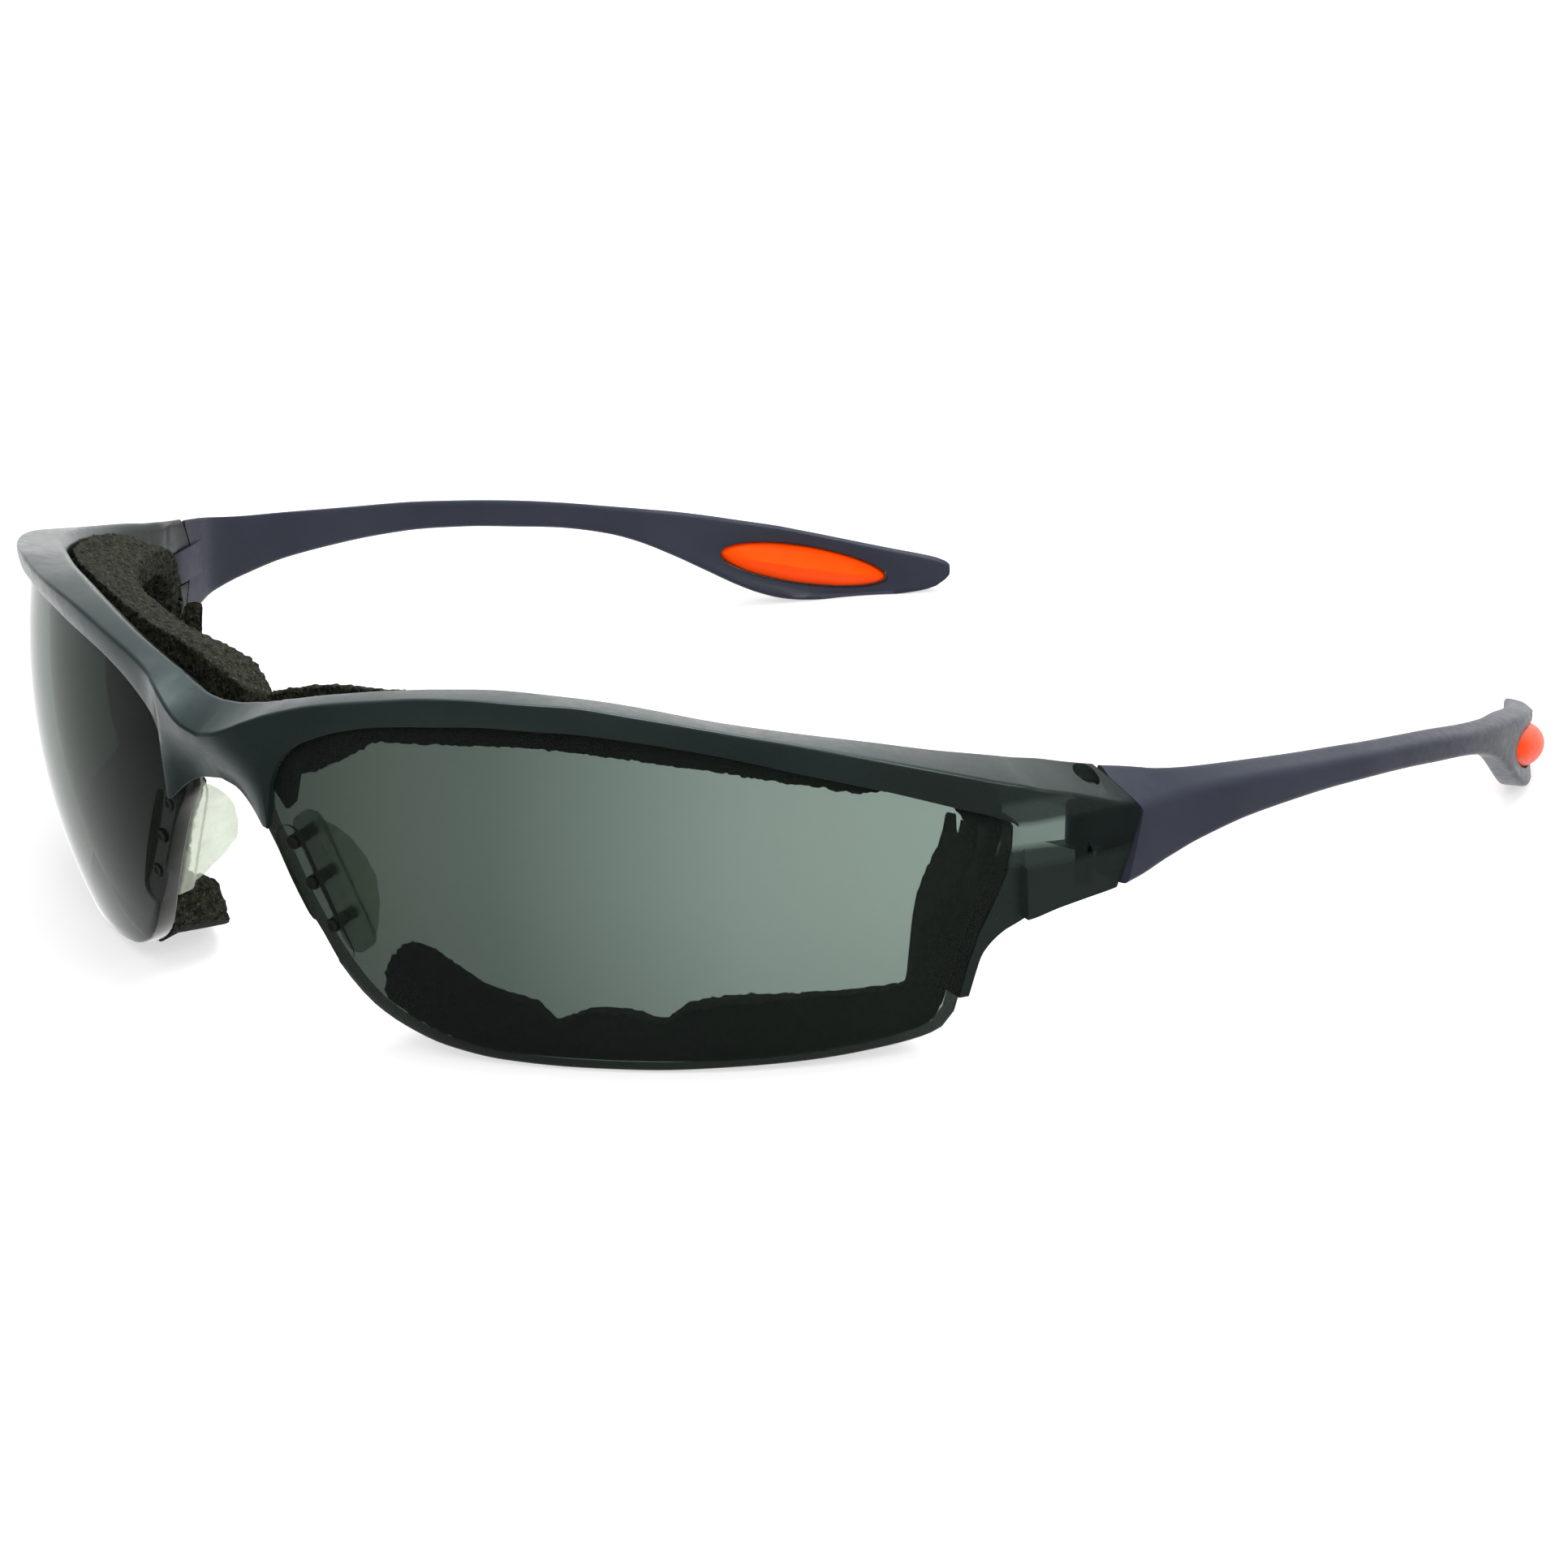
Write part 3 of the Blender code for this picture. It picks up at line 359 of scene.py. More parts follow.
def put(name, points, faces, side=1):
    """Object from table points, mirrored when side is -1."""
    mesh = bpy.data.meshes.new(name)
    mesh.from_pydata([Vector((p[0] * side, p[1], p[2])) * MM + ORIGIN for p in points], [], faces)
    bm = bmesh.new()
    bm.from_mesh(mesh)
    bmesh.ops.recalc_face_normals(bm, faces=bm.faces)
    bm.to_mesh(mesh)
    bm.free()
    obj = bpy.data.objects.new(name, mesh)
    bpy.context.scene.collection.objects.link(obj)
    return obj


def settle(obj, crease=None):
    """Makes an object's modifiers part of its mesh and shades it, sharp where it folds past crease."""
    graph = bpy.context.evaluated_depsgraph_get()
    graph.update()
    mesh = bpy.data.meshes.new_from_object(obj.evaluated_get(graph))
    old = obj.data
    obj.modifiers.clear()
    obj.data = mesh
    bpy.data.meshes.remove(old)
    mesh.name = obj.name
    mesh.shade_smooth()
    if crease:
        mesh.set_sharp_from_angle(angle=math.radians(crease))
    return obj


def boolean(obj, operation, *others):
    """Joins or cuts with others in one exact step, then drops them."""
    group = bpy.data.collections.new("others")
    for other in others:
        bpy.context.scene.collection.objects.unlink(other)
        group.objects.link(other)
    bpy.context.scene.collection.children.link(group)
    step = obj.modifiers.new("step", "BOOLEAN")
    step.operation = operation
    step.solver = "EXACT"
    step.operand_type = "COLLECTION"
    step.collection = group
    settle(obj)
    for other in others:
        bpy.data.objects.remove(other, do_unlink=True)
    bpy.data.collections.remove(group)


def copy_node(node, name):
    """New object with a copy of a CAD node's mesh."""
    obj = bpy.data.objects.new(name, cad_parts[node].data.copy())
    obj.data.materials.clear()
    bpy.context.scene.collection.objects.link(obj)
    return obj


def remesh(obj, voxel, smooth=0):
    step = obj.modifiers.new("voxels", "REMESH")
    step.mode = "VOXEL"
    step.voxel_size = voxel * MM
    if smooth:
        step = obj.modifiers.new("smooth", "SMOOTH")
        step.iterations = smooth
        step.factor = 0.5
    settle(obj)


def dress(obj, node, body, slot, *finish):
    """Gives a piece its materials and its place in the frame."""
    faces = [face.material_index for face in obj.data.polygons]
    obj.data.materials.clear()
    for one in finish:
        obj.data.materials.append(one)
    obj.data.polygons.foreach_set("material_index", [min(k, len(finish) - 1) for k in faces])
    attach(obj, body)
    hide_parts(node)


# ---------------------------------------------------------------- materials
class Shading:
    """Short way to build a node material."""

    def __init__(self, name):
        self.material = bpy.data.materials.new(name)
        self.material.use_nodes = True
        self.tree = self.material.node_tree
        self.shader = self.tree.nodes["Principled BSDF"]
        self.place = self.node("ShaderNodeTexCoord").outputs["Object"]

    def node(self, kind, inputs=(), **settings):
        made = self.tree.nodes.new(kind)
        for key, value in settings.items():
            setattr(made, key, value)
        for key, value in dict(inputs).items():
            if isinstance(value, bpy.types.NodeSocket):
                self.tree.links.new(value, made.inputs[key])
            else:
                made.inputs[key].default_value = value
        return made

    def noise(self, per_mm, detail=3.0, rough=0.55):
        made = self.node("ShaderNodeTexNoise", {"Vector": self.place, "Scale": per_mm / MM, "Detail": detail,
                                                "Roughness": rough})
        return made.outputs["Fac"]

    def cells(self, per_mm, feature="F1"):
        made = self.node("ShaderNodeTexVoronoi", {"Vector": self.place, "Scale": per_mm / MM},
                         feature=feature)
        return made.outputs["Distance"]

    def ramp(self, value, *stops):
        """Colour ramp through (position, colour) stops."""
        made = self.node("ShaderNodeValToRGB", {"Fac": value})
        band = made.color_ramp.elements
        while len(band) < len(stops):
            band.new(1.0)
        for element, (position, colour) in zip(band, stops):
            element.position = position
            element.color = (*colour, 1.0)
        return made.outputs["Color"]

    def span(self, value, low, high, to_low, to_high):
        made = self.node("ShaderNodeMapRange", {"Value": value, "From Min": low, "From Max": high,
                                                "To Min": to_low, "To Max": to_high})
        return made.outputs["Result"]

    def axis(self, name, absolute=False):
        value = self.node("ShaderNodeSeparateXYZ", {"Vector": self.place}).outputs[name]
        return self.math("ABSOLUTE", value, 0.0) if absolute else value

    def math(self, operation, a, b):
        return self.node("ShaderNodeMath", {0: a, 1: b}, operation=operation).outputs[0]

    def blend(self, factor, a, b):
        return self.node("ShaderNodeMix", {0: factor, 6: a, 7: b}, data_type="RGBA").outputs[2]

    def bump(self, height, strength, distance, normal=None):
        inputs = {"Height": height, "Strength": strength, "Distance": distance * MM}
        if normal:
            inputs["Normal"] = normal
        return self.node("ShaderNodeBump", inputs).outputs["Normal"]

    def set(self, **values):
        for key, value in values.items():
            socket = self.shader.inputs[key.replace("_", " ")]
            if isinstance(value, bpy.types.NodeSocket):
                self.tree.links.new(value, socket)
            else:
                socket.default_value = value

    def see_through(self, opacity, tint):
        """Mixes the surface with plain tinted see-through."""
        clear = self.node("ShaderNodeBsdfTransparent", {"Color": tint})
        mixed = self.node("ShaderNodeMixShader", {0: opacity, 1: clear.outputs[0], 2: self.shader.outputs[0]})
        out = self.tree.nodes["Material Output"]
        self.tree.links.new(mixed.outputs[0], out.inputs["Surface"])


def smoke_frame():
    s = Shading("smoke_polycarbonate")
    grain = s.noise(0.9, 4.0)
    cloud = s.noise(0.05, 2.0)
    end = s.span(s.axis("X", True), 0.056, 0.0625, 0.0, 1.0)
    deep = s.ramp(cloud, (0.3, (0.008, 0.012, 0.011)), (0.7, (0.014, 0.020, 0.019)))
    s.set(Base_Color=s.blend(end, deep, (0.010, 0.014, 0.012, 1.0)),
          Roughness=s.span(grain, 0.3, 0.7, 0.26, 0.36), IOR=1.5, Coat_Weight=0.05, Coat_Roughness=0.1,
          Specular_Tint=(0.66, 0.90, 0.94, 1.0),
          Normal=s.bump(grain, 0.03, 0.03))
    height = s.axis("Z")
    thin = s.math("MULTIPLY", s.span(height, 0.0204, 0.0214, 0.0, 1.0),
                  s.span(height, 0.0254, 0.0262, 1.0, 0.0))
    wall = s.span(s.math("MULTIPLY", thin, end), 0.0, 1.0, 0.0, 0.46)
    opacity = s.math("SUBTRACT", s.span(end, 0.0, 1.0, 0.99, 0.92), wall)
    s.see_through(opacity, (0.62, 0.71, 0.67, 1.0))
    return s.material


def smoke_lens():
    s = Shading("smoke_lens_tint")
    haze = s.noise(0.03, 2.0)
    grain = s.noise(2.5, 2.0)
    across = s.span(s.axis("X", True), 0.004, 0.062, 0.0, 1.0)
    tint = s.ramp(across, (0.0, (0.19, 0.215, 0.195)), (0.25, (0.25, 0.285, 0.26)),
                  (0.45, (0.275, 0.32, 0.295)), (0.8, (0.42, 0.475, 0.445)), (1.0, (0.45, 0.51, 0.475)))
    s.set(Base_Color=s.ramp(haze, (0.3, (0.050, 0.065, 0.056)), (0.7, (0.060, 0.078, 0.068))),
          Roughness=s.span(grain, 0.3, 0.7, 0.04, 0.07), IOR=1.58, Coat_Weight=0.3, Coat_Roughness=0.02,
          Normal=s.bump(haze, 0.01, 0.02))
    facing = s.node("ShaderNodeLayerWeight", {"Blend": 0.5}).outputs["Facing"]
    shine = s.math("MULTIPLY", s.math("POWER", facing, 4.0), 0.85)
    s.see_through(s.math("ADD", shine, 0.10), tint)
    return s.material


def lens_edge():
    s = Shading("smoke_lens_edge")
    haze = s.noise(0.4, 2.0)
    s.set(Base_Color=s.ramp(haze, (0.3, (0.010, 0.012, 0.010)), (0.7, (0.018, 0.020, 0.016))),
          Roughness=s.span(haze, 0.3, 0.7, 0.12, 0.2), IOR=1.58)
    s.see_through(0.90, (0.45, 0.50, 0.46, 1.0))
    return s.material


def open_foam():
    s = Shading("open_cell_foam")
    pores = s.cells(1.5)
    ligament = s.cells(1.2, "DISTANCE_TO_EDGE")
    patch = s.noise(0.25, 3.0)
    speck = s.noise(3.5, 2.0, 0.7)
    # the foam's own dark colour, with painted shade: it falls to near black towards the middle of each pore,
    # standing in for the shade inside the holes
    foam_and_pore_shade = s.ramp(pores, (0.08, (0.001, 0.001, 0.001)), (0.4, (0.008, 0.009, 0.006)),
                   (0.8, (0.022, 0.023, 0.015)))
    light = s.ramp(speck, (0.56, (0.0, 0.0, 0.0)), (0.72, (1.0, 1.0, 1.0)))
    colour = s.blend(s.math("MULTIPLY", light, 0.7), foam_and_pore_shade, (0.10, 0.108, 0.072, 1.0))
    shade = s.ramp(patch, (0.3, (0.75, 0.75, 0.75)), (0.7, (1.1, 1.08, 1.0)))
    tinted = s.node("ShaderNodeMix", {0: 1.0, 6: colour, 7: shade}, data_type="RGBA", blend_type="MULTIPLY")
    fine = s.bump(ligament, 0.5, 0.25)
    s.set(Base_Color=tinted.outputs[2], Roughness=0.95, Specular_IOR_Level=0.2,
          Normal=s.bump(speck, 0.5, 0.2, fine))
    return s.material


def clear_rubber():
    s = Shading("clear_soft_rubber")
    cloud = s.noise(0.35, 3.0)
    grain = s.noise(2.0, 2.0)
    s.set(Base_Color=s.ramp(cloud, (0.3, (0.50, 0.54, 0.46)), (0.7, (0.72, 0.76, 0.68))),
          Roughness=s.span(grain, 0.3, 0.7, 0.25, 0.42), IOR=1.42, Subsurface_Weight=0.2,
          Subsurface_Radius=(0.002, 0.002, 0.0016), Normal=s.bump(grain, 0.06, 0.05))
    s.see_through(0.36, (0.93, 0.96, 0.90, 1.0))
    return s.material


def dark_stud():
    s = Shading("dark_stud_plastic")
    grain = s.noise(3.0, 2.0)
    s.set(Base_Color=s.ramp(grain, (0.3, (0.004, 0.005, 0.004)), (0.7, (0.009, 0.010, 0.009))),
          Roughness=s.span(grain, 0.3, 0.7, 0.5, 0.65), Specular_IOR_Level=0.15,
          Normal=s.bump(grain, 0.1, 0.03))
    return s.material


def pin_steel():
    s = Shading("brushed_pin_steel")
    rings = s.noise(4.0, 3.0)
    s.set(Base_Color=s.ramp(rings, (0.3, (0.20, 0.20, 0.20)), (0.7, (0.42, 0.42, 0.41))), Metallic=1.0,
          Roughness=s.span(rings, 0.3, 0.7, 0.25, 0.42), Normal=s.bump(rings, 0.15, 0.02))
    return s.material


def charcoal_temple():
    s = Shading("charcoal_polycarbonate")
    grain = s.noise(1.1, 4.0)
    flow = s.noise(0.06, 2.0)
    s.set(Base_Color=s.ramp(flow, (0.3, (0.019, 0.022, 0.034)), (0.7, (0.026, 0.029, 0.044))),
          Roughness=s.span(grain, 0.3, 0.7, 0.34, 0.46), IOR=1.5, Specular_Tint=(0.82, 0.93, 1.0, 1.0),
          Normal=s.bump(grain, 0.05, 0.04))
    s.see_through(0.90, (0.55, 0.55, 0.64, 1.0))
    return s.material


def orange_insert():
    s = Shading("orange_soft_insert")
    grain = s.noise(1.6, 3.0)
    flow = s.noise(0.12, 2.0)
    s.set(Base_Color=s.ramp(flow, (0.3, (0.78, 0.046, 0.001)), (0.7, (0.82, 0.058, 0.001))),
          Roughness=s.span(grain, 0.3, 0.7, 0.34, 0.46), Specular_IOR_Level=0.25,
          Specular_Tint=(1.0, 0.42, 0.10, 1.0), Normal=s.bump(grain, 0.04, 0.04))
    return s.material


# ---------------------------------------------------------------- front
def brow_ring(azimuth):
    """Rounded section of the brow bar at one azimuth, flat on the middle plane at the nose."""
    ridge_r, ridge_z, rear_r, rear_z, inner_r, inner_z, low_r, low_z = curve(BROW, azimuth)
    crown, crown_round = BROW_CROWN
    slope, drop, back_round = BROW_BACK
    corners = [(low_r, low_z, BROW_EDGE_ROUND),
               ((ridge_r + low_r) / 2 + crown, (ridge_z + low_z) / 2, crown_round),
               (ridge_r, ridge_z, BROW_RIDGE_ROUND), (rear_r, rear_z, BROW_RIDGE_ROUND),
               (inner_r, rear_z - (rear_r - inner_r) * slope - drop, back_round),
               (inner_r, inner_z, BROW_EDGE_ROUND)]
    ring = [around(azimuth, r, z) for r, z in rounded_loop(corners)]
    if azimuth == BROW[0][0]:
        ring = [(0.0, y, z) for _, y, z in ring]
    return ring


def lens_rows(step):
    return [(a, *curve(LENS_EDGE, a)) for a in stations(LENS_EDGE, step)]


def lens_grid(radius, rows, grow=0.0, count=LENS_ROWS):
    """Grid over the lens outline at one radius, grown past its edge all round."""
    slack = math.degrees(grow / LENS_RADIUS)
    ends = {0: -slack, len(rows) - 1: slack}
    return [[on_sphere(azimuth + ends.get(r, 0.0), radius, low - grow + (high - low + 2 * grow) * i / count)
             for i in range(count + 1)] for r, (azimuth, low, high) in enumerate(rows)]


def shell(front, back, rims=()):
    """Closed skin between two equal grids, through the rims of the grids in between."""
    rows, cols = len(front), len(front[0])
    rim = ([(r, 0) for r in range(rows)] + [(rows - 1, c) for c in range(1, cols)]
           + [(r, cols - 1) for r in range(rows - 2, -1, -1)] + [(0, c) for c in range(cols - 2, 0, -1)])
    points = [p for grid in (front, back) for row in grid for p in row]
    faces = [tuple(layer * rows * cols + (r + i) * cols + c + j for i, j in ((0, 0), (1, 0), (1, 1), (0, 1)))
             for layer in (0, 1) for r in range(rows - 1) for c in range(cols - 1)]
    bands = [[r * cols + c for r, c in rim]]
    for grid in rims:
        bands.append([len(points) + k for k in range(len(rim))])
        points += [grid[r][c] for r, c in rim]
    bands.append([rows * cols + r * cols + c for r, c in rim])
    for one, two in zip(bands, bands[1:]):
        for k in range(len(rim)):
            m = (k + 1) % len(rim)
            faces.append((one[k], one[m], two[m], two[k]))
    return points, faces


def lens_groove(side):
    rows = lens_rows(GROOVE_STEP)
    front = lens_grid(LENS_RADIUS + LENS_FIT, rows, LENS_FIT, GROOVE_ROWS)
    back = lens_grid(LENS_RADIUS - LENS_THICKNESS - LENS_FIT, rows, LENS_FIT, GROOVE_ROWS)
    return put("groove", *shell(front, back), side=side)


def web(side):
    inner, outer = WEB_RADII
    rings = []
    for z in stations(WEB, WEB_STEP):
        first, last = curve(WEB, z)
        corners = ((inner, first), (inner, last), (outer, last), (outer, first))
        rings.append([on_sphere(azimuth, radius, z) for radius, azimuth in corners])
    return put("web", *loft(rings), side=side)


def pin_line():
    """Ends of the cutters that run along a hinge pin."""
    return [(PIN_X, PIN_Y, z) for z in PIN_CUT_Z]


def hinge_cutters(side):
    """Chevron end, slot for the tongue, pin hole and the head's recess."""
    wide, deep = PIN_X + SLOT_REACH, PIN_Y - SLOT_REACH
    near, behind = SLOT_CUT
    box = [(near, deep), (wide, deep), (wide, behind), (near, behind)]
    bottom, top = pin_line()
    seat = (PIN_X, PIN_Y, PIN_Z[1] - HEAD_HEIGHT - HEAD_ROOM)
    return [put("chevron", *prism(CHEVRON + BEHIND_CHEVRON, *END_CUT_X, "X"), side=side),
            put("slot", *prism(box, *SLOT_Z, "Z"), side=side),
            put("hole", *rod(bottom, top, PIN_HOLE_RADIUS, PIN_SIDES), side=side),
            put("recess", *rod(seat, top, PIN_HEAD_RADIUS + HEAD_ROOM, PIN_SIDES), side=side)]


def front_shell():
    frame_body = put("brow_shell", *loft([brow_ring(a) for a in stations(BROW, BROW_STEP)], first_cap=False))
    halves = frame_body.modifiers.new("halves", "MIRROR")
    halves.merge_threshold = MIRROR_MERGE
    halves.use_clip = True
    settle(frame_body)
    boolean(frame_body, "UNION", web(1), web(-1))
    boolean(frame_body, "DIFFERENCE",
            *[cutter for side in (1, -1) for cutter in (lens_groove(side), *hinge_cutters(side))])
    return settle(frame_body, crease=32)


def lens_shell(name, side):
    """Lens with its recess and stud holes; its edge has the second material."""
    rows = lens_rows(LENS_STEP)
    front = lens_grid(LENS_RADIUS, rows, -LENS_INSET)
    back = lens_grid(LENS_RADIUS - LENS_THICKNESS, rows, -LENS_INSET)
    rims = [lens_grid(LENS_RADIUS - depth, rows, -inset) for depth, inset in LENS_RIM]
    body = put(name, *shell(front, back, rims), side=side)
    boolean(body, "DIFFERENCE", put("recess", *loft(pad_oval(PAD_RECESS)), side=side))
    boolean(body, "DIFFERENCE", *[
        put("hole", *rod(*stud_line(a, z, *STUD_CUT), STUD_HOLE_RADIUS, STUD_SIDES), side=side)
        for a, z in STUDS])
    settle(body, crease=40)
    centre = Vector((EYE_AXIS[0] * side, EYE_AXIS[1], LENS_LEVEL)) * MM + ORIGIN
    for face in body.data.polygons:
        face.material_index = int(abs(face.normal.dot((face.center - centre).normalized())) < EDGE_FACING)
    return body


# ---------------------------------------------------------------- nose pads
def lens_square():
    """Middle stud's point on the pad's front, and the square of the lens there."""
    centre = Vector((*EYE_AXIS, LENS_LEVEL))
    middle = Vector(on_sphere(STUDS[1][0], PAD_FRONT, STUDS[1][1]))
    outer = Vector(on_sphere(STUDS[1][0], LENS_RADIUS, STUDS[1][1]))
    return middle, (middle - centre).normalized(), (outer - centre).normalized()


def stud_line(azimuth, z, near, far):
    """Two points on a line through the lens, square to it at the middle stud."""
    square = lens_square()[2]
    surface = Vector(on_sphere(azimuth, LENS_RADIUS, z))
    return [surface + square * (distance - LENS_RADIUS) for distance in (near, far)]


def pad_axes():
    """Middle of a pad's plate, its long direction, the square of the lens and the third."""
    middle, square, _ = lens_square()
    along = Vector(on_sphere(STUDS[0][0], PAD_FRONT, STUDS[0][1]))
    along -= Vector(on_sphere(STUDS[2][0], PAD_FRONT, STUDS[2][1]))
    along = (along - square * along.dot(square)).normalized()
    return middle, along, square, along.cross(square)


def pad_oval(levels):
    """Rings of the long oval of a pad's plate at (distance from the lens centre, growth) levels."""
    middle, along, square, across = pad_axes()
    rings = []
    for distance, grow in levels:
        half, width = (size + grow for size in PAD_PLATE_HALF)
        loop = [(PAD_PLATE_SHIFT + math.copysign(half - width, math.cos(t)) + width * math.cos(t),
                 width * math.sin(t)) for t in (math.tau * (i + 0.5) / PAD_SIDES for i in range(PAD_SIDES))]
        level = middle + square * (distance - PAD_FRONT)
        rings.append([tuple(level + along * a + across * b) for a, b in loop])
    return rings


def pad_shell(name, side):
    """Oval plate and a ribbed flap behind it, melted into one soft moulding."""
    back = PAD_FRONT - PAD_THICKNESS
    pad = put(name, *loft(pad_oval([(back, 0.0), (PAD_FRONT, 0.0)])), side=side)
    middle, along, square, across = pad_axes()
    rings = []
    for depth in stations(PAD_WING, WING_STEP):
        low, high, drift = curve(PAD_WING, depth)
        thick = WING_THICK - WING_THINNING * depth
        flap = []
        for i in range(WING_POINTS + 1):
            a = low + (high - low) * i / WING_POINTS
            edge = math.sqrt(max(0.0, 1 - abs(2 * i / WING_POINTS - 1) ** WING_BLUNT))
            lean = drift - WING_LEAN * max(a, 0.0) * depth
            rib = (RIB_HEIGHT * max(0.0, math.sin(math.tau * a / RIB_PITCH))
                   * min(1.0, max(0.0, depth - RIB_START)))
            flap.append((middle - square * depth + along * a + across * lean,
                         max(WING_THINNEST, thick * edge - rib)))
        rings.append([tuple(p + across * h) for p, h in flap]
                     + [tuple(p - across * h) for p, h in reversed(flap)])
    boolean(pad, "UNION", put("flap", *loft(rings), side=side))
    remesh(pad, PAD_VOXEL, smooth=3)
    round_it, behind_it = SOCKET_ROOM
    sockets = [stud_line(a, z, STUD_INNER - behind_it, STUD_CUT[1]) for a, z in STUDS]
    boolean(pad, "DIFFERENCE", *[put("socket", *rod(*line, STUD_RADIUS + round_it, SOCKET_SIDES), side=side)
                                 for line in sockets])
    return settle(pad, crease=50)


def stud_peg(name, side, azimuth, z):
    """Short round peg with a domed front and a dished back."""
    near, far = stud_line(azimuth, z, STUD_INNER, STUD_HEAD)
    run = (far - near).normalized()
    turn = run.to_track_quat("Z", "Y")
    length = (far - near).length
    # radius, and height from the back
    profile = ((0.02, 0.12), (0.3, 0.1), (0.42, 0.0), (0.54, 0.02), (0.6, 0.1), (0.6, length - 0.5),
               (0.72, length - 0.4), (0.72, length - 0.12), (0.62, length - 0.02), (0.5, length),
               (0.3, length - 0.1), (0.02, length - 0.14))
    rings = [[tuple(near + turn @ Vector((r * math.cos(t), r * math.sin(t), h)))
              for t in (math.tau * i / STUD_SIDES for i in range(STUD_SIDES))] for r, h in profile]
    return settle(put(name, *loft(rings), side=side), crease=35)


# ---------------------------------------------------------------- foam
def hang(p):
    """Draws a foam point in millimetres out to the lens's low corner and down to its lower edge."""
    centre = Vector((math.copysign(EYE_AXIS[0], p.x), EYE_AXIS[1], LENS_LEVEL)) + ORIGIN / MM
    arm = p - centre
    azimuth = math.degrees(math.atan2(abs(arm.x), -arm.y)) if arm.x * p.x > 0 else 0.0
    corner = (min(1.0, max(0.0, (azimuth - FOAM_TURN) / FOAM_TURN_SPAN))
              * min(1.0, max(0.0, (FOAM_CORNER_TOP - p.z) / FOAM_CORNER_RISE)))
    arm.rotate(Matrix.Rotation(math.copysign(math.radians(FOAM_CORNER * corner), p.x), 3, "Z"))
    p = centre + arm
    edge = curve(LENS_EDGE, azimuth + FOAM_CORNER * corner)[0]
    over = p.z - edge
    if over < LOW_FOAM and p.z < LENS_LEVEL - LOW_FOAM:
        p.z = max(edge + FOAM_HEM, p.z - FOAM_SAG * (1 - over / LOW_FOAM), FOAM_HEM)
        arm = p - centre
        if arm.length > FOAM_GLUED:
            p = centre + arm * FOAM_REACH / arm.length
            p.z = max(p.z, FOAM_HEM)
    return p


def foam_pad(name, node):
    """Open-cell foam: pores and a ragged skin cut into the gasket's solid, hung to the lens edge."""
    pad = copy_node(node, name)
    remesh(pad, FOAM_VOXEL, smooth=1)
    for vertex, normal in zip(pad.data.vertices, [v.normal.copy() for v in pad.data.vertices]):
        p = vertex.co / MM
        pore = noise.voronoi(p * PORE_SCALE)[0][0]
        depth = (PORE_DEPTH * max(0.0, PORE_WIDTH - pore) + TEAR_DEPTH * (1 + noise.noise(p * TEAR_SCALE))
                 - FOAM_SWELL)
        depth -= BROW_SWELL * max(0.0, normal.z) * max(0.0, 1 - abs(p.x) / NOSE_FOAM)
        vertex.co = hang(p - normal * depth) * MM
    pad.data.update()
    pad.data.shade_smooth()
    return pad


# ---------------------------------------------------------------- temples
def temple_line(y):
    """Middle of a temple, and its outward side."""
    x = curve(TEMPLE, y)[0]
    ahead = curve(TEMPLE, y + 0.5)[0] - curve(TEMPLE, y - 0.5)[0]
    run = Vector((ahead, 1.0, 0)).normalized()
    return Vector((x, y, 0)), Vector((run.y, -run.x, 0))


def insert_drift(y):
    """How far along the insert y is, from -1 to 1, and the insert's height there."""
    s = (y - INSERT_MIDDLE[0]) / (INSERT_HALF[0] * INSERT_SHARE)
    return s, INSERT_MIDDLE[1] - s * INSERT_HALF[0] * INSERT_FALL


def temple_ring(y):
    """Middle and outward side of a temple at y, and its outline as (from, to, points between) runs."""
    _, half, top, bottom, fall = curve(TEMPLE, y)
    middle, out = temple_line(y)
    crown, crown_round = TEMPLE_CROWN
    corners = [(-half, bottom, TEMPLE_ROUND), (half, bottom, TEMPLE_ROUND),
               (half + crown, (bottom + top - fall) / 2, crown_round),
               (half, top - fall, TEMPLE_SHOULDER_ROUND), (-half, top, TEMPLE_ROUND)]
    loop = []
    outline = rounded_loop(corners, 5)
    for a, b in zip(outline, outline[1:] + outline[:1]):
        count = max(1, round((Vector(b) - Vector(a)).length / WALL_STEP)) if abs(a[1] - b[1]) > 0 else 1
        loop.append((a, b, count))
    return middle, out, loop


def temple_rings(step):
    """Rings with the same number of points, dished round the insert."""
    found = [(y, *temple_ring(y)) for y in stations(TEMPLE, step)]
    counts = [max(loop[k][2] for _, _, _, loop in found) for k in range(len(found[0][3]))]
    rings = []
    for y, middle, out, loop in found:
        s, level = insert_drift(y)
        ring = []
        for (a, b, _), count in zip(loop, counts):
            for i in range(count):
                across, z = Vector(a) + (Vector(b) - Vector(a)) * i / count
                near = (s / DISH_LENGTH) ** 2 + ((z - level) / (INSERT_HALF[2] + DISH_MARGIN)) ** 2
                dish = DISH_DEPTH * math.sqrt(max(0.0, 1 - near))
                ring.append(tuple(middle + out * (across - math.copysign(dish, across)) + Vector((0, 0, z))))
        rings.append(ring)
    return rings


